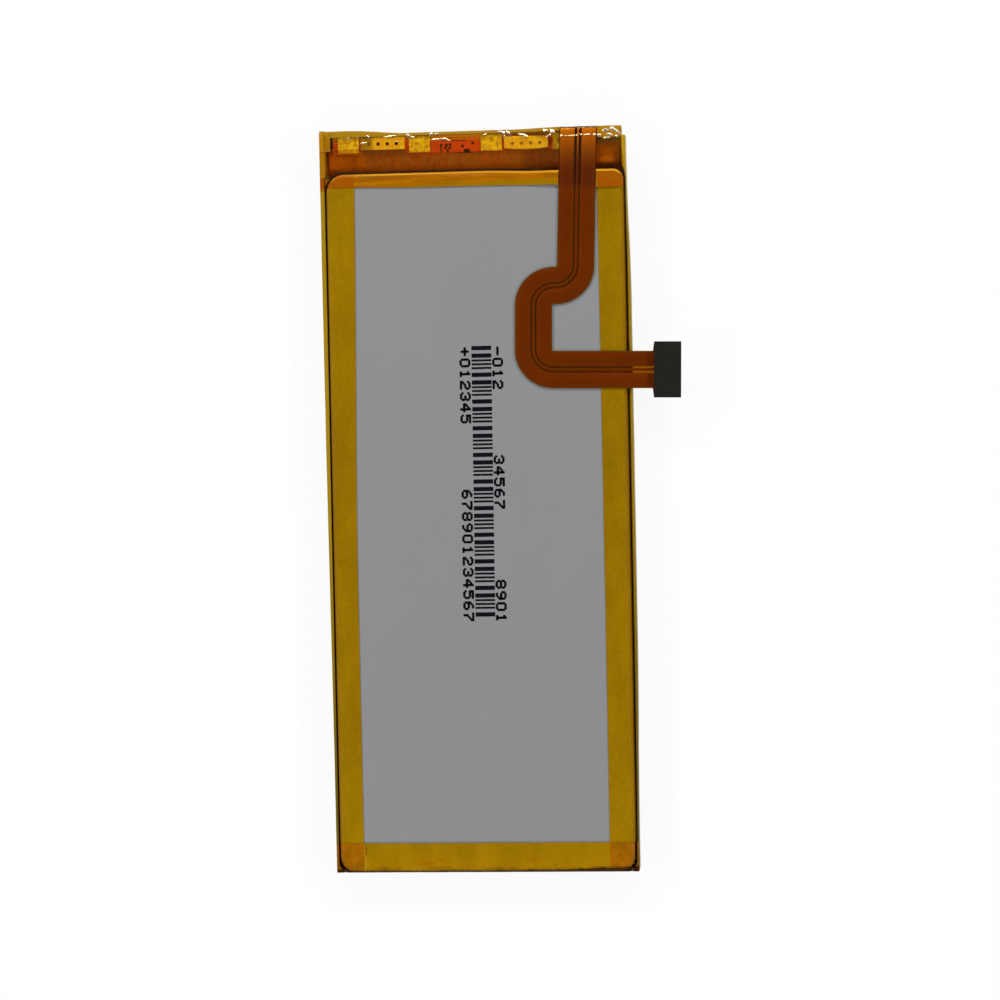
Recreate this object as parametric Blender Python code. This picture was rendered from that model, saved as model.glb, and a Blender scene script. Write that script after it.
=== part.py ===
"""Mobile phone battery: a foil pouch cell, a protection board and a folded flex circuit, in amber tape.

Lengths are in metres. The pack lies on its back: X runs across it, Y towards its board and Z up.
"""

import math

import bmesh
import bpy
from mathutils import Matrix, Vector

MM = 0.001

# The pack over its tape, without the connector
PACK_LENGTH = 97.2 * MM
PACK_WIDTH = 40.4 * MM
CELL_THICKNESS = 3.6 * MM
HEAD_DEPTH = 5.5 * MM  # from the pack's top edge to the cell's cup
TAPE = 0.06 * MM
SEAT = 0.02 * MM  # the gap between pieces that lie on each other

# The pouch
LAMINATE = 0.22 * MM  # two layers of foil laminate, sealed together
FACE_FILLET = 0.5 * MM
CUP_DRAFT = 0.1 * MM  # how much the drawn cup narrows on each side
CUP_CORNER_BOTTOM = 1.3 * MM
CUP_CORNER_TOP_LEFT = 2.2 * MM
CUP_CORNER_TOP_RIGHT = 1.4 * MM
TERRACE_DEPTH = 3.8 * MM  # from the cup to the terrace's cut edge
SEAL_HEIGHT = 3.2 * MM
SEAL_SLIT = 0.04 * MM  # between the two layers of the folded seal
SEAL_BEND = 0.35 * MM
SEAL_GROOVE = 0.24 * MM  # between the folded seal and the cup
SEAL_TUCK = 0.7 * MM  # from the terrace up to the folded seal's free edge
SEAL_SHORT_LEFT = 0.1 * MM  # how far each folded seal stops before the pack's top edge
SEAL_SHORT_RIGHT = 1.3 * MM

# The tape's flaps, on the face and on the back
FLAP_LEFT = 4.5 * MM
FLAP_RIGHT = 4.0 * MM
FLAP_BOTTOM = 3.9 * MM
FLAP_TOP = 7.4 * MM
TAPE_END_INSET = 1.0 * MM  # from the pack's side to the end of the top and bottom tapes
TAPE_CREASE = 0.12 * MM
TAPE_BROW = 0.3 * MM  # the top tape's bend over the board
TAPE_RAMP = 0.7 * MM  # how far the top tape takes to rise over the flex
TAPE_SAG = 0.25 * MM  # how far the top tape draws in between its supports
TAPE_FIRM = 4.6 * MM  # the stretch at its left end that isn't drawn in
TAPE_EASE = 3.5 * MM

# The protection board
BOARD_INSET = 1.7 * MM  # from the pack's left side
BOARD_WIDTH = 2.25 * MM
BOARD_THICKNESS = 0.6 * MM
BOARD_LIFT = 1.2 * MM  # room for the chips between the terrace and the board
BOARD_SLOT = (14.1 * MM, 0.3 * MM, 1.1 * MM)  # place along the board, width and depth
BOARD_NOTCH = (17.2 * MM, 0.8 * MM, 0.35 * MM)
STRIP_THICKNESS = 0.06 * MM
SPACER_WIDTH = 2.0 * MM
CHIP_ROUND = 0.12  # a chip's rounded edges, as a share of its thinnest side

# The tabs and what they are welded to
TAB_WIDTH = 5.75 * MM
TAB_THICKNESS = 0.1 * MM
TAB_BEND = 0.25 * MM
TAB_LENGTH = 1.75 * MM  # what lies on the board
PLATE_THICKNESS = 0.15 * MM
PLATE_MARGIN = 0.15 * MM
PAD_START = 0.675 * MM  # from the board's left end to its first pad
PAD_STOP = 3.05 * MM  # from the last pad to the board's right end
PAD_BEFORE_TAB = 0.3 * MM
PAD_AFTER_TAB = 0.6 * MM
PAD_MIDDLE = 6.65 * MM  # between the second pad and the third
PAD_LIP = 0.3 * MM
PAD_BEND = 0.12 * MM
PAD_SETBACK = 0.3 * MM
WELD_COUNT = 4
WELD_PITCH = 1.2 * MM
WELD_WIDTH = 0.5 * MM
WELD_DEPTH = 0.04 * MM
WELD_TAPER = 0.3  # how much a pit narrows by its floor, as a share of its width
FILM_LENGTH = 0.6 * MM
FILM_THICKNESS = 0.07 * MM
FILM_MARGIN = 0.7 * MM

# The flex circuit, from its foot on the board to its connector
FLEX_WIDTH = 4.85 * MM
FLEX_THICKNESS = 0.15 * MM
FLEX_INSET = 6.45 * MM  # from the pack's right side to the middle of the fold
FLEX_SKEW = 2.08  # degrees
FLEX_LEAN = 0.89  # degrees, less than square at the first bend
FLEX_FOOT = 1.5 * MM
FLEX_CORNER = 0.2 * MM  # radius inside each bend
DROP_RUN = 17.1 * MM
JOG_RUN = 0.23 * MM
SIDE_RUN = 5.65 * MM
REACH_RUN = 12.9 * MM
NECK_RUN = 0.15 * MM

# The connector and what backs it
HEAD_LENGTH = 3.5 * MM
HEAD_WIDTH = 7.25 * MM
STIFFENER_THICKNESS = 0.2 * MM
FOAM_THICKNESS = 0.5 * MM
FOAM_CORNER = 0.1 * MM
HOUSING_WIDTH = 2.5 * MM
HOUSING_LENGTH = 6.5 * MM
HOUSING_HEIGHT = 0.85 * MM
HOUSING_WALL = 0.3 * MM
HOUSING_RECESS = 0.55 * MM
CHANNEL_WIDTH = 0.5 * MM
CONTACT_THICKNESS = 0.08 * MM
CONTACT_TAIL = 0.35 * MM
CONTACT_HOOK = 0.3 * MM  # how far it reaches down inside the channel
CONTACT_BEND = 0.05 * MM
SIGNAL_WIDTH = 0.2 * MM
SIGNAL_PITCH = 0.6 * MM
SIGNAL_COUNT = 4  # on each side
POWER_WIDTH = 0.75 * MM
POWER_INSET = 0.9 * MM  # from the housing's end to a power contact's middle

ARC_STEPS = 6
FILLET_STEPS = 4
FOLD_STEPS = 14
BEND_STEPS = 12
WELD_SIDES = 14
SHARP = 40  # degrees, above which an edge stays sharp
DOUBLES = 0.001 * MM

# Heights of what lies on what, from the underside of the tape
BACK = 2 * (TAPE + SEAT)
FACE = BACK + CELL_THICKNESS
TERRACE_TOP = BACK + LAMINATE
OVER_SIDE_TAPE = FACE + SEAT + TAPE + SEAT
STRIP_TOP = TERRACE_TOP + SEAT + STRIP_THICKNESS
BOARD_BOTTOM = STRIP_TOP + BOARD_LIFT
BOARD_TOP = BOARD_BOTTOM + BOARD_THICKNESS
PLATE_TOP = BOARD_TOP + SEAT + PLATE_THICKNESS
TAB_MIDDLE = PLATE_TOP + SEAT + TAB_THICKNESS / 2
FLEX_LOW = PLATE_TOP + SEAT + FLEX_THICKNESS / 2
FLEX_HIGH = OVER_SIDE_TAPE + FLEX_THICKNESS / 2
FOLD_RADIUS = (FLEX_HIGH - FLEX_LOW) / 2
FOLD_HEIGHT = (FLEX_HIGH + FLEX_LOW) / 2
LAP = SEAT + TAPE / 2  # from a surface to the middle of the tape on it

# Places along and across the pack
TOP = PACK_LENGTH / 2
SIDE = PACK_WIDTH / 2
CUP_BOTTOM = -TOP + TAPE + SEAT
CUP_TOP = TOP - HEAD_DEPTH
TERRACE_END = CUP_TOP + TERRACE_DEPTH
SEAL_OUTER = SIDE - TAPE - SEAT
SEAL_THICKNESS = 2 * LAMINATE + SEAL_SLIT
SEAL_INNER = SEAL_OUTER - SEAL_THICKNESS
SEAL_TOP = BACK + SEAL_HEIGHT
SEAL_ROUND = 0.45 * SEAL_THICKNESS
SEAL_ENDS = {-1: TOP - SEAL_SHORT_LEFT, 1: TOP - SEAL_SHORT_RIGHT}
CUP_SIDE = SEAL_INNER - SEAL_GROOVE
WALL = TOP - TAPE_SAG - TAPE / 2  # the middle of the top tape's end wall
TAB_WALL = WALL - LAP - 2 * SEAT - TAB_THICKNESS / 2
BOARD_UPPER = TAB_WALL - TAB_THICKNESS / 2 - 3 * SEAT
BOARD_LOWER = BOARD_UPPER - BOARD_WIDTH
BOARD_LEFT = -SIDE + BOARD_INSET
FLEX_X = SIDE - FLEX_INSET
BOARD_RIGHT = FLEX_X + FLEX_WIDTH / 2
PAD_GAPS = PAD_START + 2 * (PAD_BEFORE_TAB + PAD_AFTER_TAB) + PAD_MIDDLE + PAD_STOP
PAD_WIDTH = (BOARD_RIGHT - BOARD_LEFT - 2 * TAB_WIDTH - PAD_GAPS) / 4
TAB_SPOTS = {
    "positive": BOARD_LEFT + PAD_START + PAD_WIDTH + PAD_BEFORE_TAB + TAB_WIDTH / 2,
    "negative": BOARD_RIGHT - PAD_STOP - PAD_WIDTH - PAD_AFTER_TAB - TAB_WIDTH / 2,
}
SKEW = math.radians(FLEX_SKEW)
FOLD_Y = TOP - TAPE - SEAT - FLEX_THICKNESS / 2 - FOLD_RADIUS - FLEX_WIDTH / 2 * math.sin(SKEW)
TAPE_END = SIDE - TAPE_END_INSET

# Heights at the connector, from the middle of the flex
HOUSING_RIM = -FLEX_THICKNESS / 2 - 2 * SEAT - CONTACT_THICKNESS - HOUSING_HEIGHT


def rounded(corners):
    """Points through (place, height, radius) corners, with an arc where a corner has a radius."""
    path = []
    for index, (place, height, radius) in enumerate(corners):
        here = Vector((place, height))
        if not radius:
            path.append(here)
            continue
        back = (Vector(corners[index - 1][:2]) - here).normalized()
        ahead = (Vector(corners[index + 1][:2]) - here).normalized()
        half = back.angle(ahead) / 2
        centre = here + (back + ahead).normalized() * radius / math.sin(half)
        start = here + back * radius / math.tan(half) - centre
        end = here + ahead * radius / math.tan(half) - centre
        sweep = -start.angle_signed(end)
        for step in range(ARC_STEPS + 1):
            path.append(centre + Matrix.Rotation(sweep * step / ARC_STEPS, 2) @ start)
    return path


def across(x, point):
    """A point of a lengthwise section, at x."""
    return Vector((x, point[0], point[1]))


def along(y, point):
    """A point of a crosswise section, at y."""
    return Vector((point[0], y, point[1]))


def material(name, colour, roughness, metallic=0.0):
    look = bpy.data.materials.new(name)
    look.use_nodes = True
    shader = look.node_tree.nodes["Principled BSDF"]
    shader.inputs["Base Color"].default_value = (*colour, 1.0)
    shader.inputs["Roughness"].default_value = roughness
    shader.inputs["Metallic"].default_value = metallic
    return look


def add_object(name, mesh, parent, look, smooth=None):
    """A named object made from a bmesh, with sharp edges above the angle smooth in degrees."""
    data = bpy.data.meshes.new(name)
    bmesh.ops.recalc_face_normals(mesh, faces=mesh.faces)
    mesh.to_mesh(data)
    mesh.free()
    if smooth:
        data.shade_smooth()
        data.set_sharp_from_angle(angle=math.radians(smooth))
    data.materials.append(material(name, *look))
    item = bpy.data.objects.new(name, data)
    bpy.context.collection.objects.link(item)
    item.parent = parent
    return item


def add_frame(name, parent=None):
    frame = bpy.data.objects.new(name, None)
    bpy.context.collection.objects.link(frame)
    frame.parent = parent
    return frame


def add_form(name, mesh, parent):
    """A shape that only cuts or fills another one."""
    form = add_object(name, mesh, parent, LOOKS["form"])
    form.hide_render = True
    form.display_type = "WIRE"
    return form


def combine(item, form, operation):
    step = item.modifiers.new(form.name, "BOOLEAN")
    step.operation = operation
    step.solver = "EXACT"
    step.object = form


def thicken(item, thickness):
    wall = item.modifiers.new("thickness", "SOLIDIFY")
    wall.thickness = thickness
    wall.offset = 0.0
    wall.use_even_offset = True


def block(size, centre, mesh=None):
    """A box in a new bmesh, or added to one."""
    mesh = mesh or bmesh.new()
    placed = Matrix.Translation(centre) @ Matrix.Diagonal((*size, 1.0))
    bmesh.ops.create_cube(mesh, size=1.0, matrix=placed)
    return mesh


def soften(mesh, edges, radius, steps=2):
    bmesh.ops.bevel(
        mesh, geom=edges, offset=radius, segments=steps, profile=0.5, affect="EDGES", material=-1
    )


def extruded(outline, vector):
    """A closed outline of 3-D points, extruded into a solid."""
    mesh = bmesh.new()
    face = mesh.faces.new([mesh.verts.new(point) for point in outline])
    grown = bmesh.ops.extrude_face_region(mesh, geom=[face])["geom"]
    bmesh.ops.translate(
        mesh, vec=vector, verts=[part for part in grown if isinstance(part, bmesh.types.BMVert)]
    )
    return mesh


def add_chain(mesh, points):
    """Edges through a row of points."""
    verts = [mesh.verts.new(point) for point in points]
    return [mesh.edges.new(pair) for pair in zip(verts, verts[1:])]


def lofted(chains):
    """A sheet through rows of points."""
    mesh = bmesh.new()
    rows = [add_chain(mesh, points) for points in chains]
    for one, other in zip(rows, rows[1:]):
        bmesh.ops.bridge_loops(mesh, edges=one + other)
    return mesh


def grow(mesh, edges, vector, spread=1.0):
    """Extrude edges along a vector, widen the new ones about their middle, and return them."""
    grown = bmesh.ops.extrude_edge_only(mesh, edges=edges)["geom"]
    verts = [part for part in grown if isinstance(part, bmesh.types.BMVert)]
    bmesh.ops.translate(mesh, vec=vector, verts=verts)
    middle = sum((vert.co for vert in verts), Vector()) / len(verts)
    for vert in verts:
        vert.co = middle + (vert.co - middle) * spread
    return [
        part
        for part in grown
        if isinstance(part, bmesh.types.BMEdge) and all(vert in verts for vert in part.verts)
    ]


def turn(mesh, edges, centre, axis, angle, steps):
    """Spin edges about an axis, and return the last ones."""
    verts = list({vert for edge in edges for vert in edge.verts})
    spun = bmesh.ops.spin(
        mesh, geom=edges + verts, cent=centre, axis=axis, angle=angle, steps=steps, dvec=(0, 0, 0)
    )
    return [part for part in spun["geom_last"] if isinstance(part, bmesh.types.BMEdge)]


LOOKS = {
    "form": ((0.5, 0.5, 0.5), 0.5),
    "foil": ((0.27, 0.27, 0.28), 0.42, 0.6),
    "tape": ((0.34, 0.20, 0.0), 0.25),
    "board": ((0.48, 0.04, 0.0), 0.45),
    "nickel": ((0.62, 0.42, 0.02), 0.3, 1.0),
    "aluminium": ((0.70, 0.55, 0.20), 0.32, 1.0),
    "film": ((0.85, 0.82, 0.72), 0.4),
    "strip": ((0.25, 0.07, 0.0), 0.5),
    "foam": ((0.02, 0.02, 0.02), 0.9),
    "chip": ((0.03, 0.03, 0.03), 0.4),
    "ceramic": ((0.42, 0.30, 0.18), 0.4),
    "flex": ((0.13, 0.02, 0.0), 0.35),
    "steel": ((0.6, 0.6, 0.58), 0.35, 1.0),
    "pad": ((0.016, 0.016, 0.014), 0.85),
    "housing": ((0.05, 0.045, 0.04), 0.45),
    "gold": ((0.85, 0.62, 0.22), 0.25, 1.0),
}


def seal_side(mirror):
    """Half of the pouch's section: out along its back, up the folded seal and home again."""
    inner_bend = SEAL_BEND - LAMINATE
    corners = [
        (0.0, BACK, 0),
        (SEAL_OUTER, BACK, SEAL_BEND),
        (SEAL_OUTER, SEAL_TOP, SEAL_ROUND),
        (SEAL_INNER, SEAL_TOP, SEAL_ROUND),
        (SEAL_INNER, TERRACE_TOP + SEAL_TUCK, 0),
        (SEAL_INNER + LAMINATE, TERRACE_TOP + SEAL_TUCK, 0),
        (SEAL_INNER + LAMINATE, SEAL_TOP - LAMINATE, 0),
        (SEAL_OUTER - LAMINATE, SEAL_TOP - LAMINATE, 0),
        (SEAL_OUTER - LAMINATE, TERRACE_TOP, inner_bend),
        (0.0, TERRACE_TOP, 0),
    ]
    return [(mirror * point.x, point.y) for point in rounded(corners)]


def make_pouch(pack):
    right = seal_side(1)
    left = seal_side(-1)
    outline = right + left[-2:0:-1]
    seal_start = CUP_BOTTOM + SEAT
    section = [along(seal_start, point) for point in outline]
    pouch = add_object(
        "pouch_cell", extruded(section, (0, SEAL_ENDS[-1] - seal_start, 0)), pack, LOOKS["foil"]
    )

    trim = block(
        (2 * CUP_SIDE, HEAD_DEPTH, 4 * LAMINATE), (0, TERRACE_END + HEAD_DEPTH / 2, TERRACE_TOP)
    )
    combine(pouch, add_form("terrace_trim", trim, pack), "DIFFERENCE")
    seal_middle = (SEAL_INNER - SEAL_GROOVE / 2 + SIDE) / 2
    trim = block(
        (2 * (SIDE - seal_middle), HEAD_DEPTH, 2 * FACE),
        (seal_middle, SEAL_ENDS[1] + HEAD_DEPTH / 2, FACE / 2),
    )
    combine(pouch, add_form("seal_trim", trim, pack), "DIFFERENCE")

    floor = BACK + LAMINATE / 3  # within the laminate, which the cup grows from
    cup = block(
        (2 * CUP_SIDE, CUP_TOP - CUP_BOTTOM, FACE - floor),
        (0, (CUP_TOP + CUP_BOTTOM) / 2, (FACE + floor) / 2),
    )
    middle = (CUP_TOP + CUP_BOTTOM) / 2
    for vert in cup.verts:
        if vert.co.z > floor + LAMINATE:
            vert.co.x -= math.copysign(CUP_DRAFT, vert.co.x)
            if vert.co.y > middle:
                vert.co.y -= CUP_DRAFT
    for edge in [edge for edge in cup.edges if abs(edge.verts[0].co.z - edge.verts[1].co.z) > LAMINATE]:
        x, y, z = edge.verts[0].co
        radius = CUP_CORNER_BOTTOM
        if y > middle:
            radius = CUP_CORNER_TOP_LEFT if x < 0 else CUP_CORNER_TOP_RIGHT
        soften(cup, [edge], radius, ARC_STEPS)
    rim = [edge for edge in cup.edges if all(vert.co.z > FACE - LAMINATE for vert in edge.verts)]
    soften(cup, rim, FACE_FILLET, FILLET_STEPS)
    combine(pouch, add_form("cup", cup, pack), "UNION")


def make_side_tape(pack, name, mirror, flap):
    """Tape from the back, up round the folded seal, down into the groove and over the cup's edge."""
    back = TAPE + SEAT + TAPE / 2
    front = FACE + LAP
    outer = SIDE - TAPE / 2
    cup_edge = CUP_SIDE - CUP_DRAFT
    tail = rounded(
        [
            (SIDE - flap, back, 0),
            (outer, back, SEAL_BEND + LAP),
            (outer, SEAL_TOP + LAP, SEAL_ROUND + LAP),
            (SEAL_INNER, SEAL_TOP + LAP, SEAL_GROOVE / 2),
            ((SEAL_INNER + cup_edge) / 2, SEAL_TOP - SEAL_GROOVE / 2, 0),
        ]
    )
    rise = rounded(
        [
            (*tail[-1], 0),
            (cup_edge + LAP, front, FACE_FILLET),
            (SIDE - flap, front, 0),
        ]
    )
    start = CUP_BOTTOM + FACE_FILLET
    shoulder = CUP_TOP - CUP_DRAFT - FACE_FILLET
    end = SEAL_ENDS[mirror] - SEAT
    mesh = bmesh.new()
    whole = [(mirror * point[0], point[1]) for point in tail + rise[1:]]
    edges = add_chain(mesh, [along(start, point) for point in whole])
    at_shoulder = grow(mesh, edges, (0, shoulder - start, 0))
    groove = tail[-1]
    over_seal = []
    for edge in at_shoulder:
        middle = (edge.verts[0].co + edge.verts[1].co) / 2
        if abs(middle.x) > groove.x or middle.z < groove.y:
            over_seal.append(edge)
    grow(mesh, over_seal, (0, end - shoulder, 0))
    tape = add_object(name, mesh, pack, LOOKS["tape"], smooth=SHARP)
    thicken(tape, TAPE)


def make_bottom_tape(pack):
    wall = -TOP + TAPE / 2
    front = OVER_SIDE_TAPE + TAPE / 2
    section = rounded(
        [
            (-TOP + FLAP_BOTTOM, TAPE / 2, 0),
            (wall, TAPE / 2, TAPE_CREASE),
            (wall, front, FACE_FILLET),
            (-TOP + FLAP_BOTTOM, front, 0),
        ]
    )
    mesh = lofted([[across(x, point) for point in section] for x in (-TAPE_END, TAPE_END)])
    thicken(add_object("tape_bottom", mesh, pack, LOOKS["tape"], smooth=SHARP), TAPE)


def top_tape_section(wall, over_flex):
    """The top tape's section, drawn down to the board or raised over the folded flex."""
    high = FLEX_HIGH + FLEX_THICKNESS / 2 + LAP
    flat = high if over_flex else OVER_SIDE_TAPE + TAPE / 2
    brow = high if over_flex else TAB_MIDDLE + TAB_THICKNESS / 2 + 2 * LAP
    brow_bend = high - FOLD_HEIGHT if over_flex else TAPE_BROW
    return rounded(
        [
            (TOP - FLAP_TOP, TAPE / 2, 0),
            (wall, TAPE / 2, TAPE_CREASE),
            (wall, brow, brow_bend),
            (CUP_TOP, flat, 0),
            (TOP - FLAP_TOP, flat, 0),
        ]
    )


def make_top_tape(pack):
    taut = TOP - TAPE / 2
    lean = FLAP_TOP * math.tan(SKEW)
    left = FLEX_X - FLEX_WIDTH / 2 - lean - 2 * SEAT
    right = FLEX_X + FLEX_WIDTH / 2 + 2 * SEAT
    stations = [
        (-TAPE_END, taut, False),
        (-TAPE_END + TAPE_FIRM, taut, False),
        (-TAPE_END + TAPE_FIRM + TAPE_EASE, WALL, False),
        (left - TAPE_RAMP, WALL, False),
        (left, taut, True),
        (right, taut, True),
        (right + TAPE_RAMP, WALL, False),
        (TAPE_END, WALL, False),
    ]
    rows = [
        [across(x, point) for point in top_tape_section(wall, over_flex)]
        for x, wall, over_flex in stations
    ]
    thicken(add_object("tape_top", lofted(rows), pack, LOOKS["tape"], smooth=SHARP), TAPE)


def make_board(pack):
    outline = [(BOARD_LEFT, BOARD_LOWER)]
    for place, width, depth in (BOARD_SLOT, BOARD_NOTCH):
        start = BOARD_LEFT + place
        outline += [
            (start, BOARD_LOWER),
            (start, BOARD_LOWER + depth),
            (start + width, BOARD_LOWER + depth),
            (start + width, BOARD_LOWER),
        ]
    outline += [(BOARD_RIGHT, BOARD_LOWER), (BOARD_RIGHT, BOARD_UPPER), (BOARD_LEFT, BOARD_UPPER)]
    points = [Vector((x, y, BOARD_BOTTOM)) for x, y in outline]
    mesh = extruded(points, (0, 0, BOARD_THICKNESS))
    add_object("protection_board", mesh, pack, LOOKS["board"])

    strip_length = TERRACE_END - CUP_TOP - 4 * SEAT
    strip = block(
        (2 * CUP_SIDE - 4 * SEAT, strip_length, STRIP_THICKNESS),
        (0, (TERRACE_END + CUP_TOP) / 2, STRIP_TOP - STRIP_THICKNESS / 2),
    )
    add_object("terrace_strip", strip, pack, LOOKS["strip"])


def make_spacers(pack):
    height = BOARD_LIFT - 2 * SEAT
    length = TERRACE_END - BOARD_LOWER - 4 * SEAT
    spots = {
        "left": BOARD_LEFT + SPACER_WIDTH / 2 + 2 * SEAT,
        "middle": (BOARD_LEFT + BOARD_RIGHT) / 2,
        "right": BOARD_RIGHT - SPACER_WIDTH / 2 - 2 * SEAT,
    }
    for spot, x in spots.items():
        centre = (x, (TERRACE_END + BOARD_LOWER) / 2, STRIP_TOP + BOARD_LIFT / 2)
        spacer = block((SPACER_WIDTH, length, height), centre)
        add_object(f"board_spacer_{spot}", spacer, pack, LOOKS["foam"])


def make_chips(pack):
    """Parts under the board: (name, distance from the board's end, along, across, height, look)."""
    from_left = [
        ("switch_chip_1", 4.6 * MM, 2.9 * MM, 1.9 * MM, 0.75 * MM, "chip"),
        ("switch_chip_2", 8.1 * MM, 2.9 * MM, 1.9 * MM, 0.75 * MM, "chip"),
        ("chip_capacitor_1", 10.7 * MM, 0.5 * MM, 1.0 * MM, 0.5 * MM, "ceramic"),
        ("chip_resistor_1", 12.0 * MM, 0.5 * MM, 1.0 * MM, 0.35 * MM, "chip"),
    ]
    from_right = [
        ("guard_chip_1", 4.2 * MM, 1.6 * MM, 1.6 * MM, 0.6 * MM, "chip"),
        ("guard_chip_2", 6.8 * MM, 1.6 * MM, 1.6 * MM, 0.6 * MM, "chip"),
        ("chip_capacitor_2", 8.8 * MM, 0.5 * MM, 1.0 * MM, 0.5 * MM, "ceramic"),
        ("chip_resistor_2", 10.0 * MM, 0.5 * MM, 1.0 * MM, 0.35 * MM, "chip"),
        ("thermistor", 11.2 * MM, 0.5 * MM, 1.0 * MM, 0.5 * MM, "ceramic"),
    ]
    places = [(BOARD_LEFT + part[1], part) for part in from_left]
    places += [(BOARD_RIGHT - part[1], part) for part in from_right]
    for x, (name, _, length, width, height, look) in places:
        centre = (x, (BOARD_UPPER + BOARD_LOWER) / 2, BOARD_BOTTOM - SEAT - height / 2)
        mesh = block((length, width, height), centre)
        soften(mesh, mesh.edges[:], min(length, height) * CHIP_ROUND, 1)
        add_object(name, mesh, pack, LOOKS[look])


def make_tab(pack, name, x, look):
    """A cell tab: out of the terrace, up past the board's upper edge and back over its weld plate."""
    exit_height = BACK + LAMINATE / 2
    section = rounded(
        [
            (TERRACE_END + SEAT, exit_height, 0),
            (TAB_WALL, exit_height, TAB_BEND),
            (TAB_WALL, TAB_MIDDLE, TAB_BEND),
            (BOARD_UPPER - TAB_LENGTH, TAB_MIDDLE, 0),
        ]
    )
    ends = (x - TAB_WIDTH / 2, x + TAB_WIDTH / 2)
    mesh = lofted([[across(end, point) for point in section] for end in ends])
    tab = add_object(f"tab_{name}", mesh, pack, LOOKS[look], smooth=SHARP)
    thicken(tab, TAB_THICKNESS)

    pits = bmesh.new()
    top = TAB_MIDDLE + TAB_THICKNESS / 2
    for count in range(WELD_COUNT):
        offset = (count - (WELD_COUNT - 1) / 2) * WELD_PITCH
        centre = (x + offset, BOARD_UPPER - TAB_LENGTH / 2, top)
        bmesh.ops.create_cone(
            pits,
            cap_ends=True,
            segments=WELD_SIDES,
            radius1=WELD_WIDTH / 2 * (1 - WELD_TAPER),
            radius2=WELD_WIDTH / 2 * (1 + WELD_TAPER),
            depth=2 * WELD_DEPTH,
            matrix=Matrix.Translation(centre),
        )
    combine(tab, add_form(f"weld_pits_{name}", pits, pack), "DIFFERENCE")

    plate_length = TAB_LENGTH - PLATE_MARGIN
    plate = block(
        (TAB_WIDTH - 2 * PLATE_MARGIN, plate_length, PLATE_THICKNESS),
        (x, BOARD_UPPER - PLATE_MARGIN - plate_length / 2, PLATE_TOP - PLATE_THICKNESS / 2),
    )
    add_object(f"weld_plate_{name}", plate, pack, LOOKS["nickel"])

    half_width = TAB_WIDTH / 2 + FILM_MARGIN
    half_height = TAB_THICKNESS / 2 + SEAT / 2 + FILM_THICKNESS / 2
    loop = [(-1, -1), (1, -1), (1, 1), (-1, 1)]
    mesh = bmesh.new()
    start = TERRACE_END + SEAT
    verts = [
        mesh.verts.new((x + half_width * side, start, exit_height + half_height * up))
        for side, up in loop
    ]
    edges = [mesh.edges.new((verts[index - 1], verts[index])) for index in range(4)]
    grow(mesh, edges, (0, FILM_LENGTH, 0))
    film = add_object(f"tab_film_{name}", mesh, pack, LOOKS["film"])
    thicken(film, FILM_THICKNESS)


def make_solder_pads(pack):
    """Metal pads on both sides of each tab, bent down over the board's lower edge."""
    middle = BOARD_TOP + SEAT + PLATE_THICKNESS / 2
    lip = BOARD_LOWER - SEAT - PLATE_THICKNESS / 2
    section = rounded(
        [
            (BOARD_UPPER - PAD_SETBACK, middle, 0),
            (lip, middle, PAD_BEND),
            (lip, middle - PAD_LIP - PLATE_THICKNESS / 2, 0),
        ]
    )
    count = 0
    reach = (TAB_WIDTH + PAD_WIDTH) / 2
    for tab_x in TAB_SPOTS.values():
        for x in (tab_x - reach - PAD_BEFORE_TAB, tab_x + reach + PAD_AFTER_TAB):
            count += 1
            ends = (x - PAD_WIDTH / 2, x + PAD_WIDTH / 2)
            mesh = lofted([[across(end, point) for point in section] for end in ends])
            pad = add_object(f"solder_pad_{count}", mesh, pack, LOOKS["nickel"], smooth=SHARP)
            thicken(pad, PLATE_THICKNESS)


def make_flex(pack):
    """The flex circuit, and the frame of its connector end."""
    fold = add_frame("flex_fold", pack)
    fold.location = (FLEX_X, FOLD_Y, 0)
    fold.rotation_euler.z = -SKEW

    mesh = bmesh.new()
    half = FLEX_WIDTH / 2
    edges = add_chain(mesh, [(-half, -FLEX_FOOT, FLEX_LOW), (half, -FLEX_FOOT, FLEX_LOW)])
    edges = grow(mesh, edges, (0, FLEX_FOOT, 0))
    edges = turn(mesh, edges, (0, 0, FOLD_HEIGHT), (1, 0, 0), math.pi, FOLD_STEPS)

    heading = Vector((0, -1, 0))
    square = math.radians(90)
    bends = [-(square - math.radians(FLEX_LEAN)), square, square]
    for run, angle in zip((DROP_RUN, JOG_RUN, SIDE_RUN), bends):
        edges = grow(mesh, edges, heading * run)
        middle = (edges[0].verts[0].co + edges[0].verts[1].co) / 2
        inward = heading.cross((0, 0, -math.copysign(1, angle)))
        centre = middle + inward * (half + FLEX_CORNER)
        edges = turn(mesh, edges, centre, (0, 0, 1), angle, BEND_STEPS)
        heading = Matrix.Rotation(angle, 3, "Z") @ heading
    edges = grow(mesh, edges, heading * REACH_RUN)
    edges = grow(mesh, edges, heading * NECK_RUN, HEAD_WIDTH / FLEX_WIDTH)
    neck = (edges[0].verts[0].co + edges[0].verts[1].co) / 2
    grow(mesh, edges, heading * HEAD_LENGTH)
    bmesh.ops.remove_doubles(mesh, verts=mesh.verts, dist=DOUBLES)
    flex = add_object("flex_circuit", mesh, fold, LOOKS["flex"], smooth=SHARP)
    thicken(flex, FLEX_THICKNESS)

    head = add_frame("flex_head", fold)
    head.location = neck + heading * HEAD_LENGTH / 2
    head.rotation_euler.z = math.atan2(heading.y, heading.x)
    return head


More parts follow.
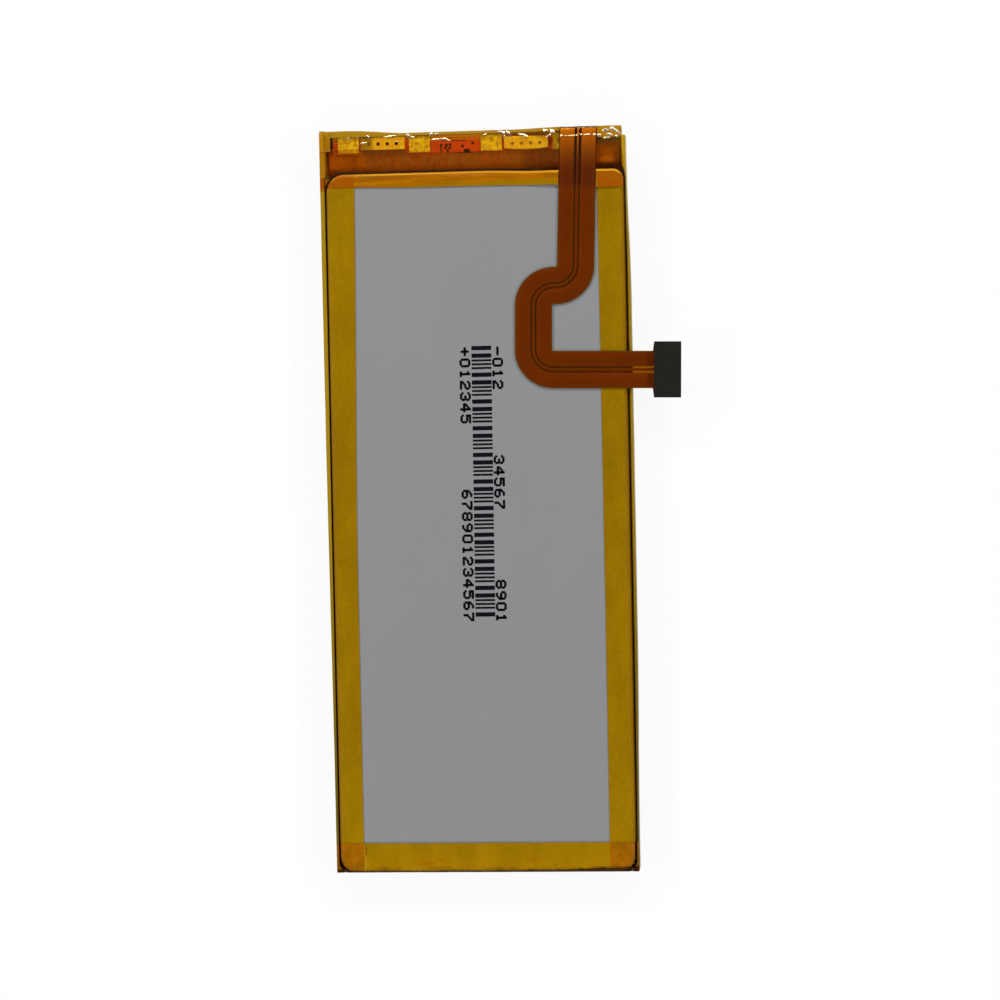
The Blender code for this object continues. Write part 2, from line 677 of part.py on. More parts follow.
def make_connector(head):
    """What the flex's end carries: a stiffener and a foam pad above, the connector below."""
    above = FLEX_THICKNESS / 2 + SEAT
    stiffener = block(
        (HEAD_LENGTH, HEAD_WIDTH, STIFFENER_THICKNESS), (0, 0, above + STIFFENER_THICKNESS / 2)
    )
    add_object("connector_stiffener", stiffener, head, LOOKS["steel"])
    above += STIFFENER_THICKNESS + SEAT
    pad = block((HEAD_LENGTH, HEAD_WIDTH, FOAM_THICKNESS), (0, 0, above + FOAM_THICKNESS / 2))
    uprights = [edge for edge in pad.edges if edge.calc_length() < 2 * FOAM_THICKNESS]
    soften(pad, uprights, FOAM_CORNER)
    add_object("connector_pad", pad, head, LOOKS["pad"])

    housing = block(
        (HOUSING_WIDTH, HOUSING_LENGTH, HOUSING_HEIGHT), (0, 0, HOUSING_RIM + HOUSING_HEIGHT / 2)
    )
    mouth = min(housing.faces, key=lambda face: face.calc_center_median().z)
    bmesh.ops.inset_region(housing, faces=[mouth], thickness=HOUSING_WALL)
    floor = bmesh.ops.extrude_discrete_faces(housing, faces=[mouth])["faces"][0]
    bmesh.ops.translate(housing, verts=floor.verts, vec=(0, 0, HOUSING_RECESS))
    bmesh.ops.inset_region(housing, faces=[floor], thickness=CHANNEL_WIDTH)
    island = bmesh.ops.extrude_discrete_faces(housing, faces=[floor])["faces"][0]
    bmesh.ops.translate(housing, verts=island.verts, vec=(0, 0, -HOUSING_RECESS))
    add_object("connector_housing", housing, head, LOOKS["housing"])


def make_contacts(head):
    """Contacts hooked over the housing's long walls, with tails under the flex."""
    tail = -FLEX_THICKNESS / 2 - SEAT - CONTACT_THICKNESS / 2
    lap = SEAT + CONTACT_THICKNESS / 2
    outside = HOUSING_WIDTH / 2 + lap
    inside = HOUSING_WIDTH / 2 - HOUSING_WALL - lap
    section = rounded(
        [
            (outside + CONTACT_TAIL, tail, 0),
            (outside, tail, CONTACT_BEND),
            (outside, HOUSING_RIM - lap, CONTACT_BEND),
            (inside, HOUSING_RIM - lap, CONTACT_BEND),
            (inside, HOUSING_RIM + CONTACT_HOOK, 0),
        ]
    )
    middle = (SIGNAL_COUNT - 1) / 2
    signals = [(count - middle) * SIGNAL_PITCH for count in range(SIGNAL_COUNT)]
    power_spot = HOUSING_LENGTH / 2 - POWER_INSET
    kinds = [
        ("signal_contact", signals, SIGNAL_WIDTH),
        ("power_contact", [-power_spot, power_spot], POWER_WIDTH),
    ]
    for kind, spots, width in kinds:
        count = 0
        for side in (-1, 1):
            for spot in spots:
                count += 1
                ends = (spot - width / 2, spot + width / 2)
                mesh = lofted(
                    [[along(end, (side * point.x, point.y)) for point in section] for end in ends]
                )
                contact = add_object(f"{kind}_{count}", mesh, head, LOOKS["gold"])
                thicken(contact, CONTACT_THICKNESS)


def centre(pack, head):
    """Put the middle of the whole object, connector and all, over the origin."""
    bpy.context.view_layer.update()
    corners = [(x * HEAD_LENGTH / 2, y * HEAD_WIDTH / 2, 0) for x in (-1, 1) for y in (-1, 1)]
    reach = max((head.matrix_world @ Vector(corner)).x for corner in corners)
    pack.location.x = (SIDE - reach) / 2


def main():
    for item in list(bpy.data.objects):
        bpy.data.objects.remove(item)
    pack = add_frame("pack")
    make_pouch(pack)
    make_side_tape(pack, "tape_left", -1, FLAP_LEFT)
    make_side_tape(pack, "tape_right", 1, FLAP_RIGHT)
    make_bottom_tape(pack)
    make_board(pack)
    make_spacers(pack)
    make_chips(pack)
    make_tab(pack, "positive", TAB_SPOTS["positive"], "aluminium")
    make_tab(pack, "negative", TAB_SPOTS["negative"], "nickel")
    make_solder_pads(pack)
    head = make_flex(pack)
    make_connector(head)
    make_contacts(head)
    make_top_tape(pack)
    centre(pack, head)


main()
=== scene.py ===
import math

import bmesh
import bpy
from mathutils import Matrix, Vector, noise


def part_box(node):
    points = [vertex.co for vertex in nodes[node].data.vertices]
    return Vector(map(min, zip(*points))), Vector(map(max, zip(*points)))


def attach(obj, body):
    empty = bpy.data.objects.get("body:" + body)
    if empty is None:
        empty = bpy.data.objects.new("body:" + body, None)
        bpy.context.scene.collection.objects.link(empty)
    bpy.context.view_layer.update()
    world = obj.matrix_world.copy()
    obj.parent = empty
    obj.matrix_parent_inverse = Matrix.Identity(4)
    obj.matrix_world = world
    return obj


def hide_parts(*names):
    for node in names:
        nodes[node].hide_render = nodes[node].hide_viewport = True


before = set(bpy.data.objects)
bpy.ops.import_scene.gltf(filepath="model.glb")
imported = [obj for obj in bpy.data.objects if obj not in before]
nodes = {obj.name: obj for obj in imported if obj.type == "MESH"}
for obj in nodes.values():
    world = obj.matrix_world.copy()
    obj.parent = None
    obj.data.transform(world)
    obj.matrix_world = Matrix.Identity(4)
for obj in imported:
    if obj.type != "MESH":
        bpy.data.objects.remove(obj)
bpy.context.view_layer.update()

# Shapes are given in millimetres, with x and y from the middle of the pack.
mm = 0.001
pouchLow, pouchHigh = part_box("pouch_cell")
middleX = (pouchLow.x + pouchHigh.x) / 2
scene = bpy.context.scene

pack = dict(
    top=48.6, side=20.2, cupTop=43.1, cupBottom=-48.52, cupSide=19.4,
    back=0.16, face=3.76, tape=0.06, gap=0.02,
    sealTop=3.36, sealOuter=20.12, sealInner=19.64, terraceEnd=46.9, terraceTop=0.38,
)


# A socket that can be reckoned with, so that shader maths reads as Python.
class Wire:
    def __init__(self, look, socket):
        self.look, self.socket = look, socket

    def reckon(self, operation, *values):
        return self.look.add("Math", dict(enumerate(values)), operation=operation)

    # makes the method for an operation on two values
    def pair(operation):
        return lambda self, other: self.reckon(operation, self, other)

    __add__ = __radd__ = pair("ADD")
    __sub__ = pair("SUBTRACT")
    __mul__ = __rmul__ = pair("MULTIPLY")
    __truediv__ = pair("DIVIDE")
    __pow__ = pair("POWER")
    __gt__ = pair("GREATER_THAN")
    __lt__ = pair("LESS_THAN")
    either = pair("MAXIMUM")
    least = pair("MINIMUM")

    def __rsub__(self, other):
        return self.reckon("SUBTRACT", other, self)

    def __abs__(self):
        return self.reckon("ABSOLUTE", self)

    # 0 up to low and 1 from high on, with a soft rise
    def rise(self, low, high):
        limits = {"Value": self, "From Min": low, "From Max": high}
        return self.look.add("MapRange", limits, interpolation_type="SMOOTHSTEP")

    def fall(self, low, high):
        return 1 - self.rise(low, high)


class Look:
    def __init__(self, name, gloss=0.5, **fixed):
        self.material = bpy.data.materials.new(name)
        self.material.use_nodes = True
        self.tree = self.material.node_tree
        self.shader = self.tree.nodes["Principled BSDF"]
        self.paint(Specular_IOR_Level=gloss, **fixed)

    def fill(self, node, sockets):
        for key, value in sockets.items():
            socket = node.inputs[key]
            if isinstance(value, Wire):
                self.tree.links.new(value.socket, socket)
            else:
                socket.default_value = (*value, 1) if socket.type == "RGBA" else value

    def add(self, kind, sockets=None, out=0, **settings):
        node = self.tree.nodes.new("ShaderNode" + kind)
        for key, value in settings.items():
            setattr(node, key, value)
        self.fill(node, sockets or {})
        return Wire(self, node.outputs[out])

    def paint(self, **sockets):
        self.fill(self.shader, {key.replace("_", " "): value for key, value in sockets.items()})

    def finish(self, surface):
        self.fill(self.tree.nodes["Material Output"], {"Surface": surface})

    # the place in millimetres from the middle of the pack
    def place(self, stretch=(1, 1, 1)):
        spot = self.add("TexCoord", out="Object")
        shift = (-middleX / mm * stretch[0], 0, 0)
        scale = tuple(part / mm for part in stretch)
        return self.add("Mapping", {"Vector": spot, "Location": shift, "Scale": scale})

    def axes(self):
        spot = self.place()
        return [self.add("SeparateXYZ", {"Vector": spot}, axis) for axis in "XYZ"]

    # how far a point is outside the cup's rounded edge, as pastEdge has it
    def pastCup(self, x, y):
        left, right, bottom = outline["topLeft"], outline["topRight"], outline["bottom"]
        corner = (x < 0) * (left - right) + (right - bottom)
        radius = (y > 0) * corner + bottom
        qx = abs(x) - outline["halfX"] + radius
        qy = abs(y - outline["middleY"]) - outline["halfY"] + radius
        square = qx.either(0) ** 2 + qy.either(0) ** 2
        return square**0.5 + qx.either(qy).least(0) - radius

    def grain(self, scale, stretch=(1, 1, 1), detail=3, rough=0.55, twist=0):
        values = {"Scale": scale, "Detail": detail, "Roughness": rough, "Distortion": twist}
        return self.add("TexNoise", {"Vector": self.place(stretch), **values})

    # specks of dirt in two sizes, the finer ones fainter
    def dirt(self, *scales):
        cells = [self.add("TexVoronoi", {"Vector": self.place(), "Scale": scale}) for scale in scales]
        return (cells[0] < 0.05).either((cells[1] < 0.06) * 0.6)

    def mix(self, factor, one, two):
        return self.add("Mix", {0: factor, 6: one, 7: two}, 2, data_type="RGBA")

    # lays named colours over one, each by its own share
    def layers(self, base, colours, **shares):
        for name, share in shares.items():
            base = self.mix(share, base, colours[name])
        return base

    def bump(self, height, depth):
        self.paint(Normal=self.add("Bump", {"Height": height, "Distance": depth * mm}))

    # only this share of the surface is seen, and what lies behind it shows through the tint
    def seeThrough(self, share, tint):
        clear = self.add("BsdfTransparent", {"Color": tint})
        self.finish(self.add("MixShader", {0: share, 1: clear, 2: Wire(self, self.shader.outputs[0])}))


# A look whose colour wanders between two. Its roughness may too, by a base, a share and a scale.
def plainLook(name, scale, one, two, rough=None, stretch=(1, 1, 1), **fixed):
    look = Look(name, **fixed)
    look.paint(Base_Color=look.mix(look.grain(scale, stretch), one, two))
    if rough:
        base, share, size = rough
        look.paint(Roughness=base + look.grain(size) * share)
    return look


def scaled(colour, share):
    return tuple(part * share for part in colour)


def only(kind, geometry):
    return [part for part in geometry if isinstance(part, kind)]


# The edges both of whose ends pass a test on their place.
def edgesWhere(mesh, test):
    return [edge for edge in mesh.edges if all(test(vert.co) for vert in edge.verts)]


def soften(mesh, edges, radius, steps):
    bmesh.ops.bevel(mesh, geom=edges, offset=radius, segments=steps, profile=0.5, affect="EDGES", material=-1)


# Grows a strip of faces from a row of edges.
def pull(mesh, edges, vector):
    grown = bmesh.ops.extrude_edge_only(mesh, edges=edges)["geom"]
    bmesh.ops.translate(mesh, vec=vector, verts=only(bmesh.types.BMVert, grown))
    return grown


# Turns a bmesh into mesh data and frees it.
def stored(mesh, name):
    data = bpy.data.meshes.new(name)
    mesh.to_mesh(data)
    mesh.free()
    return data


def linked(name, data):
    made = bpy.data.objects.new(name, data)
    scene.collection.objects.link(made)
    return made


# The finished piece: its mesh goes to its place in the frame, and a sheet gets thickness.
def dress(name, mesh, look, replaced=(), thickness=0, offset=0, smooth=40):
    place = Matrix.Translation((middleX, 0, 0)) @ Matrix.Scale(mm, 4)
    bmesh.ops.transform(mesh, matrix=place, verts=mesh.verts)
    data = stored(mesh, name)
    data.materials.append(look.material)
    piece = linked(name, data)
    if thickness:
        wall = piece.modifiers.new("wall", "SOLIDIFY")
        wall.thickness, wall.offset = thickness * mm, offset
        wall.use_quality_normals = True
        walled = piece.evaluated_get(bpy.context.evaluated_depsgraph_get())
        piece.data = bpy.data.meshes.new_from_object(walled)
        piece.modifiers.clear()
        bpy.data.meshes.remove(data)
        piece.data.name = name
    if smooth:
        piece.data.shade_smooth()
        piece.data.set_sharp_from_angle(angle=math.radians(smooth))
    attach(piece, "root")
    if replaced:
        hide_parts(*replaced)


# Paints every solid of the frame whose name starts so.
def paintNodes(look, *starts):
    for name in nodes:
        if name.startswith(starts):
            nodes[name].data.materials.clear()
            nodes[name].data.materials.append(look.material)


def box(mesh, size, centre, radius=0):
    made = bmesh.ops.create_cube(mesh, size=1, matrix=Matrix.Translation(centre) @ Matrix.Diagonal((*size, 1)))
    if radius:
        soften(mesh, list({edge for vert in made["verts"] for edge in vert.link_edges}), radius, 3)


# A low disc that stands on a level.
def disc(mesh, x, y, level, radius, high, sides):
    spot = Matrix.Translation((x, y, level + high / 2))
    made = bmesh.ops.create_cone(
        mesh, cap_ends=True, segments=sides, radius1=radius, radius2=radius, depth=high, matrix=spot
    )
    return made["verts"]


# A folded sheet: corners are (place, height, radius) across one end, and the sheet runs along x or y.
# The creases are rounded by bevels once it has its length.
def folded(corners, start, length, axis):
    mesh = bmesh.new()
    run = Vector((length, 0, 0) if axis == "x" else (0, length, 0))
    points = [Vector((start, across, up) if axis == "x" else (across, start, up)) for across, up, _ in corners]
    verts = [mesh.verts.new(point) for point in points]
    pull(mesh, [mesh.edges.new(pair) for pair in zip(verts, verts[1:])], run)
    for (_, _, radius), point in zip(corners, points):
        if radius:
            crease = edgesWhere(mesh, lambda co: (co - point).cross(run).length < 1e-4)
            soften(mesh, crease, radius, 6)
    return mesh


# Cuts a sheet into strips across an axis, over its whole length or from a place on.
def divide(mesh, axis, longest, start=None):
    low = min(vert.co[axis] for vert in mesh.verts) if start is None else start
    high = max(vert.co[axis] for vert in mesh.verts)
    count = int((high - low) / longest)
    normal = Vector([float(index == axis) for index in range(3)])
    for step in range(start is None, count):
        cut = Vector()
        cut[axis] = low + (high - low) * step / count
        geometry = mesh.verts[:] + mesh.edges[:] + mesh.faces[:]
        bmesh.ops.bisect_plane(mesh, geom=geometry, dist=1e-5, plane_co=cut, plane_no=normal)


# Turns an open sheet so that its highest part faces up.
def faceUp(mesh):
    bmesh.ops.recalc_face_normals(mesh, faces=mesh.faces)
    if max(mesh.faces, key=lambda face: face.calc_center_median().z).normal.z < 0:
        bmesh.ops.reverse_faces(mesh, faces=mesh.faces)


def ease(value, low, high):
    share = min(max((value - low) / (high - low), 0), 1)
    return share * share * (3 - 2 * share)


def lumps(point, size, seed=0):
    return noise.noise(Vector(point) / size + Vector((seed, seed * 1.7, -seed)))


outline = dict(halfX=19.35, halfY=45.77, middleY=-2.73, bottom=2, topLeft=2.2, topRight=1.4)


# How far a point is outside the cup's rounded edge, seen from above.
def pastEdge(x, y):
    radius = outline["bottom"]
    if y > 0:
        radius = outline["topLeft"] if x < 0 else outline["topRight"]
    qx = abs(x) - outline["halfX"] + radius
    qy = abs(y - outline["middleY"]) - outline["halfY"] + radius
    return math.hypot(max(qx, 0), max(qy, 0)) + min(max(qx, qy), 0) - radius


# Where the tape drops over the cup's edge, and the dip beside it, which at the left comes nearer upwards.
drape = dict(
    over=(-0.4, 0.12), fall=0.38, into=(-0.05, 0.08), out=(0.16, 0.3), dip=0.4,
    right=0.18, left=0.08, nearer=0.13, nearerAlong=(-10, 40),
)


# The height of tape that drops from a level on the cup over its edge and crosses the gap to the seal.
def draped(x, y, level):
    past = pastEdge(x, y)
    nearer = drape["nearer"] * ease(y, *drape["nearerAlong"])
    dip = past - (drape["right"] if x > 0 else drape["left"] - nearer)
    lower = level - drape["fall"] * ease(past, *drape["over"])
    return lower - drape["dip"] * ease(dip, *drape["into"]) * (1 - ease(dip, *drape["out"]))


# The folded seals: how far they lean in and between which places, how far the right one's inner edge is
# pressed outwards, and how both spread inwards beyond the cup.
seals = dict(
    leanTop=(0.36, 26, 45), leanBottom=(0.22, 18, 44), leanLeft=(0.15, -12, 36),
    press=0.14, beyond=(42.3, 43.6), spreadRight=0.36, spreadLeft=0.14,
)


def leanIn(x, y):
    if x > 0:
        (top, *upper), (bottom, *lower) = seals["leanTop"], seals["leanBottom"]
        return top * ease(y, *upper) + bottom * ease(-y, *lower)
    left, *along = seals["leanLeft"]
    return left * ease(-y, *along)


# How far a point of a seal or of its tape moves outwards.
def sealShift(x, y, z, leanTo, pressTo, loose=0):
    across, inner = abs(x), pack["sealInner"]
    inward = leanIn(x, y) * ease(across, inner - 0.1, leanTo)
    spread = ease(y, *seals["beyond"])
    pressed = seals["press"] - seals["spreadRight"] * spread if x > 0 else -seals["spreadLeft"] * spread
    return (pressed * (1 - ease(across, inner, pressTo)) - loose) * (z > 1.2) - inward


print("camera, floor and light")

view = dict(place=(31.17, 13.036, 328.533), turn=(-2.341, 4.972, -1.185), lens=90, sensor=36)
camera = bpy.data.cameras.new("camera")
camera.lens, camera.sensor_width = view["lens"], view["sensor"]
eye = linked("camera", camera)
eye.location = Vector(view["place"]) * mm + Vector((middleX, 0, 0))
eye.rotation_euler = [math.radians(angle) for angle in view["turn"]]
scene.camera = eye
scene.view_settings.view_transform = "Standard"

studio = dict(
    floorSize=6, floorColour=(0.9, 0.9, 0.9), ownWhite=0.9, sky=0.1,
    # name, place, size and watts
    lamps=(
        ("back", (0, 1.15, 0.78), (1.8, 0.12), 13.5), ("left", (-1.15, 0.05, 0.8), (1.6, 0.14), 10.8),
        ("right", (1.15, 0.05, 0.8), (1.6, 0.14), 10.8), ("front", (0, -1.5, 1), (0.8, 0.8), 9.7),
    ),
)

floorMesh = bmesh.new()
bmesh.ops.create_grid(floorMesh, x_segments=1, y_segments=1, size=studio["floorSize"] / 2)
floor = linked("floor", stored(floorMesh, "floor"))
look = Look("floorPaper", Base_Color=studio["floorColour"], Roughness=0.9, gloss=0)
floor.data.materials.append(look.material)
rays = [look.add("LightPath", out=f"Is {kind} Ray") for kind in ("Camera", "Glossy", "Transmission")]
ownWhite = rays[0].either(rays[1]).either(rays[2]) * studio["ownWhite"]
glow = look.add("Emission", {"Color": (1, 1, 1), "Strength": 1})
above = look.add("MixShader", {0: ownWhite, 1: Wire(look, look.shader.outputs[0]), 2: glow})
fromBelow = look.add("NewGeometry", out="Backfacing")
look.finish(look.add("MixShader", {0: fromBelow, 1: above, 2: look.add("BsdfTransparent")}))

world = bpy.data.worlds.new("studio")
scene.world = world
world.use_nodes = True
sky = world.node_tree.nodes["Background"]
sky.inputs["Color"].default_value = (1, 1, 1, 1)
sky.inputs["Strength"].default_value = studio["sky"]

for name, place, size, watts in studio["lamps"]:
    lamp = bpy.data.lights.new(name, "AREA")
    lamp.shape = "RECTANGLE"
    lamp.size, lamp.size_y = size
    lamp.energy = watts
    light = linked(name, lamp)
    light.location = place
    light.rotation_mode = "QUATERNION"
    light.rotation_quaternion = Vector(place).to_track_quat("Z", "Y")


print("foil pouch")

foil = dict(
    colour=(0.305, 0.305, 0.314), metal=0.3, rough=0.44,
    # dark and flankShade are painted shade under the clear tape
    dark=(0.02, 0.008, 0.001), flankShade=(0.45, 0.19, 0.004),
    rim=0.55, backRim=0.2, draft=0.1, laminate=0.22, sealEnds={-1: 48.5, 1: 47.3},
    corners=((-1, -1, "bottom"), (1, -1, "bottom"), (-1, 1, "topLeft"), (1, 1, "topRight")),
)

look = Look("foilLook", Metallic=foil["metal"], gloss=0.3)
cloud, crumbs = look.grain(0.12, detail=4), look.grain(9, detail=2)
tone = look.mix(cloud * 0.6 + crumbs * 0.4, scaled(foil["colour"], 0.96), scaled(foil["colour"], 1.04))
x, y, z = look.axes()
# painted shade: dark brown at the cup's rim and beside the terrace under the clear tape, lighter brown on the left
# seal's inner side
paintedShade = ((abs(x) > 18.9) * (y > 43.3) * (z < 3.5)).either((y > 42.8) * (z > 2.5))
shadeTone = look.mix(abs(x).rise(19.05, 19.35) * (x < 0), foil["dark"], foil["flankShade"])
look.paint(Base_Color=look.mix(paintedShade, tone, shadeTone), Roughness=foil["rough"] + (crumbs - 0.5) * 0.12)
look.bump(look.grain(0.5, detail=5), 0.02)


def makePouch():
    mesh = bmesh.new()
    length = pack["cupTop"] - pack["cupBottom"]
    height = pack["face"] - pack["back"]
    middle = Vector((0, (pack["cupTop"] + pack["cupBottom"]) / 2, pack["back"] + height / 2))
    box(mesh, (2 * pack["cupSide"], length, height), middle)
    for vert in mesh.verts:
        if vert.co.z > middle.z:
            vert.co.x -= math.copysign(foil["draft"], vert.co.x)
    for sideX, sideY, corner in foil["corners"]:
        near = edgesWhere(mesh, lambda co: co.x * sideX > 18 and (co.y - middle.y) * sideY > 44)
        post = [edge for edge in near if abs(edge.verts[0].co.z - edge.verts[1].co.z) > height / 2]
        soften(mesh, post, outline[corner], 8)
    for level, radius in ((pack["face"], foil["rim"]), (pack["back"], foil["backRim"])):
        soften(mesh, edgesWhere(mesh, lambda co: abs(co.z - level) < 1e-3), radius, 5)
    # the laminate below and its folded seals, which run on as the terrace's sides
    half = foil["laminate"] / 2
    outer, inner = pack["sealOuter"] - half, pack["sealInner"] + half
    low, high = pack["back"] + half, pack["sealTop"] - half
    side = [(inner, pack["terraceTop"] + 0.8, 0), (inner, high, 0.1), (outer, high, 0.1), (outer, low, 0.25)]
    section = [(-across, up, radius) for across, up, radius in side] + side[::-1]
    seal = folded(section, pack["cupBottom"] + 0.05, pack["terraceEnd"] - pack["cupBottom"] - 0.05, "y")
    for mirror, end in foil["sealEnds"].items():
        last = pack["terraceEnd"]
        ends = edgesWhere(seal, lambda co: abs(co.y - last) < 1e-3 and co.x * mirror > pack["cupSide"])
        pull(seal, ends, (0, end - last, 0))
    divide(seal, 1, 2)
    bmesh.ops.recalc_face_normals(seal, faces=seal.faces)
    bmesh.ops.solidify(seal, geom=seal.faces[:], thickness=half)
    for vert in seal.verts:
        x, y, z = vert.co
        if abs(x) > pack["sealInner"] - 0.1:
            leanTo = pack["sealOuter"] - 0.1
            vert.co.x += math.copysign(1, x) * sealShift(x, y, z, leanTo, leanTo)
    sealData = stored(seal, "seal")
    mesh.from_mesh(sealData)
    bpy.data.meshes.remove(sealData)
    bmesh.ops.recalc_face_normals(mesh, faces=mesh.faces)
    return mesh


dress("pouch", makePouch(), look, ["pouch_cell"])


print("amber tape")

amber = dict(
    colour=(0.29, 0.156, 0.0005), rough=0.35,
    # painted shade in the gap beside the cup, and the seal's edge outside it
    gapColour=(0.01, 0.004, 0), edge=(0.33, 0.2, 0.006), edgeLow=(0.135, 0.09, 0.004),
    edgeTop=(0.42, 0.25, 0.006), wall=(0.33, 0.145, 0.002), dirt=(0.09, 0.045, 0),
    # where two tapes lie over each other
    double=(0.31, 0.108, 0.0004), doubleTop=((0.345, 0.072, 0.0004), (0.3, 0.095, 0.0004)),
    doubleBottom=((0.25, 0.095, 0.0004), (0.36, 0.118, 0.0004)),
)


# One look for each tape, because each lies on something else.
def tapeLook(name):
    look = Look(name, gloss=0.06)
    x, y, z = look.axes()
    cloudy = look.grain(0.35, (1, 0.4, 1), detail=4)
    fine = look.grain(4, (1, 0.7, 1), rough=0.7)
    broad = (abs(y) / 44).least(1) ** 2 * 0.12 + 0.88
    mottle = (cloudy * 0.5 + fine * 0.5).rise(0.25, 0.75)
    colour = look.mix(mottle, scaled(amber["colour"], 0.82), scaled(amber["colour"], 1.22))
    colour = look.mix(broad, (0, 0, 0), colour)
    look.paint(Roughness=amber["rough"] + (cloudy - 0.5) * 0.15)
    look.bump(look.grain(0.9, detail=4) + fine * 0.15, 0.02)
    return look, x, y, z, colour


def sideTapeLook(name, shift):
    look, x, y, z, colour = tapeLook(name)
    past = look.pastCup(x, y)
    gap = past - shift + y.rise(*drape["nearerAlong"]) * (x < 0) * drape["nearer"]
    # the seal's edge outside the gap is paler towards the top, and the gap beside the cup has painted shade
    edge = look.mix(y.rise(-42, 4), amber["edgeLow"], amber["edge"])
    edge = look.mix(y.rise(38, 47) * (x > 0), edge, amber["edgeTop"])
    edge = look.mix((x > 0) * y.fall(34, 42) * 0.17, edge, (0, 0, 0))
    edge = look.mix((y > 41) * (x < 0), edge, look.mix(y > 42.85, amber["double"], amber["wall"]))
    groove = gap.rise(0.08, 0.14) * gap.fall(0.28, 0.34) * (z > 2) * (z < 3.77) * y.fall(42.8, 43.1)
    colour = look.layers(
        colour, {**amber, "edge": edge}, double=past.rise(-0.35, 0.1) * 0.4, edge=gap.rise(0.26, 0.34),
        gapColour=groove, dirt=look.dirt(1.1, 0.45) * 0.6,
    )
    look.paint(Base_Color=colour)
    return look


sideTapes = dict(
    left=dict(mirror=-1, flap=4.5, end=48.48, lean=(16.28, 0.72), shift=0.02),
    right=dict(mirror=1, flap=4, end=47.28, lean=(16.15, 0.06), shift=0.12),
)
sideSection = dict(start=-48.46, shoulder=42.5, groove=2.95, bendOut=0.3, fillet=0.5)


def makeSideTape(data):
    mirror = data["mirror"]
    lap = pack["gap"] + pack["tape"] / 2
    low, high, front = pack["back"] - lap, pack["sealTop"] + lap, pack["face"] + lap
    outer, flapEdge = pack["side"] - pack["tape"] / 2, pack["side"] - data["flap"]
    dip, groove = (pack["sealInner"] - 0.02 + pack["cupSide"]) / 2, sideSection["groove"]
    corners = [
        (flapEdge, low, 0), (outer, low, sideSection["bendOut"]), (outer, high, 0.16),
        (pack["sealInner"] + 0.02, high, 0.1), (dip + 0.04, groove, 0), (dip - 0.04, groove, 0),
        (pack["cupSide"] - 0.02, front, sideSection["fillet"]), (flapEdge, front, 0),
    ]
    corners = [(mirror * across, up, radius) for across, up, radius in corners]
    start, shoulder = sideSection["start"], sideSection["shoulder"]
    mesh = folded(corners, start, shoulder - start, "y")
    # beyond the shoulder it goes on only round the seal
    edges = [
        edge
        for edge in edgesWhere(mesh, lambda co: abs(co.y - shoulder) < 1e-3)
        if (edge.verts[0].co.z + edge.verts[1].co.z) / 2 < high + 0.01
        and not abs(edge.verts[0].co.x + edge.verts[1].co.x) / 2 < dip * (edge.verts[0].co.z > 1)
    ]
    pull(mesh, edges, (0, data["end"] - shoulder, 0))
    divide(mesh, 1, 0.5)
    divide(mesh, 0, 0.28)
    faceUp(mesh)
    lowEdge, drift = data["lean"]
    for vert in mesh.verts:
        x, y, z = vert.co
        across = abs(x)
        if z > pack["face"] and across < pack["cupSide"] - 0.4:
            share = ease(across, pack["cupSide"] - 0.4, flapEdge)
            wanted = lowEdge - drift * ease(y, -12, 50)
            vert.co.x += mirror * share * (wanted - flapEdge) + 0.012 * lumps(vert.co, 2)
        if z > 3:
            vert.co.z = min(z, draped(x, y, front))
            vert.co.z += 0.008 * lumps(vert.co, 1.2, 5)
        if across > pack["sealInner"] - 0.1:
            shift = sealShift(x, y, z, pack["side"] - 0.1, pack["sealOuter"], 0.02)
            vert.co.x += mirror * (shift - 0.02 * lumps((0, y, 0), 5, 3))
    return mesh


for side, tape in sideTapes.items():
    look = sideTapeLook(f"{side}TapeLook", tape["shift"])
    dress(f"{side}Tape", makeSideTape(tape), look, [f"tape_{side}"], thickness=pack["tape"])


bottomTape = dict(
    flap=3.9, end=20.12, crease=0.12, fillet=0.5, wave=0.012,
    orange=(0.42, 0.19, 0.0005), smear=(0.13, 0.05, 0), fold=(0.46, 0.3, 0.02),
    # rim is a painted shade along its lower edge
    scratch=(0.04, 0.02, 0), outside=(0.14, 0.055, 0.001), rim=(0.03, 0.006, 0),
    dirt=(0.1, 0.05, 0),
    blots=((-8.1, -47.4, 1.4, 0.55), (-6.2, -46.9, 0.8, 0.4), (6, -46.8, 1.2, 0.5)),
)


def makeBottomTape():
    wall = -pack["top"] - 0.05 + pack["tape"] / 2
    front = pack["face"] + 0.13
    edge = -pack["top"] + bottomTape["flap"]
    corners = [
        (edge, pack["tape"] / 2, 0), (wall, pack["tape"] / 2, bottomTape["crease"]),
        (wall, front, bottomTape["fillet"]), (edge, front, 0),
    ]
    mesh = folded(corners, -bottomTape["end"], 2 * bottomTape["end"], "x")
    divide(mesh, 0, 0.2)
    divide(mesh, 1, 0.2)
    faceUp(mesh)
    for vert in mesh.verts:
        x, y, z = vert.co
        level = draped(x, max(y, -48.1), front + 0.02)
        if z > front - bottomTape["fillet"] - 0.05:
            vert.co.z = min(z, level)
        elif abs(x) > outline["halfX"] - 0.3:
            vert.co.z = z * level / front
        vert.co.x -= math.copysign(leanIn(x, y) * ease(abs(x), 19.4, 20.1), x)
        vert.co += vert.normal * bottomTape["wave"] * lumps(vert.co, 1.6, 7)
    return mesh


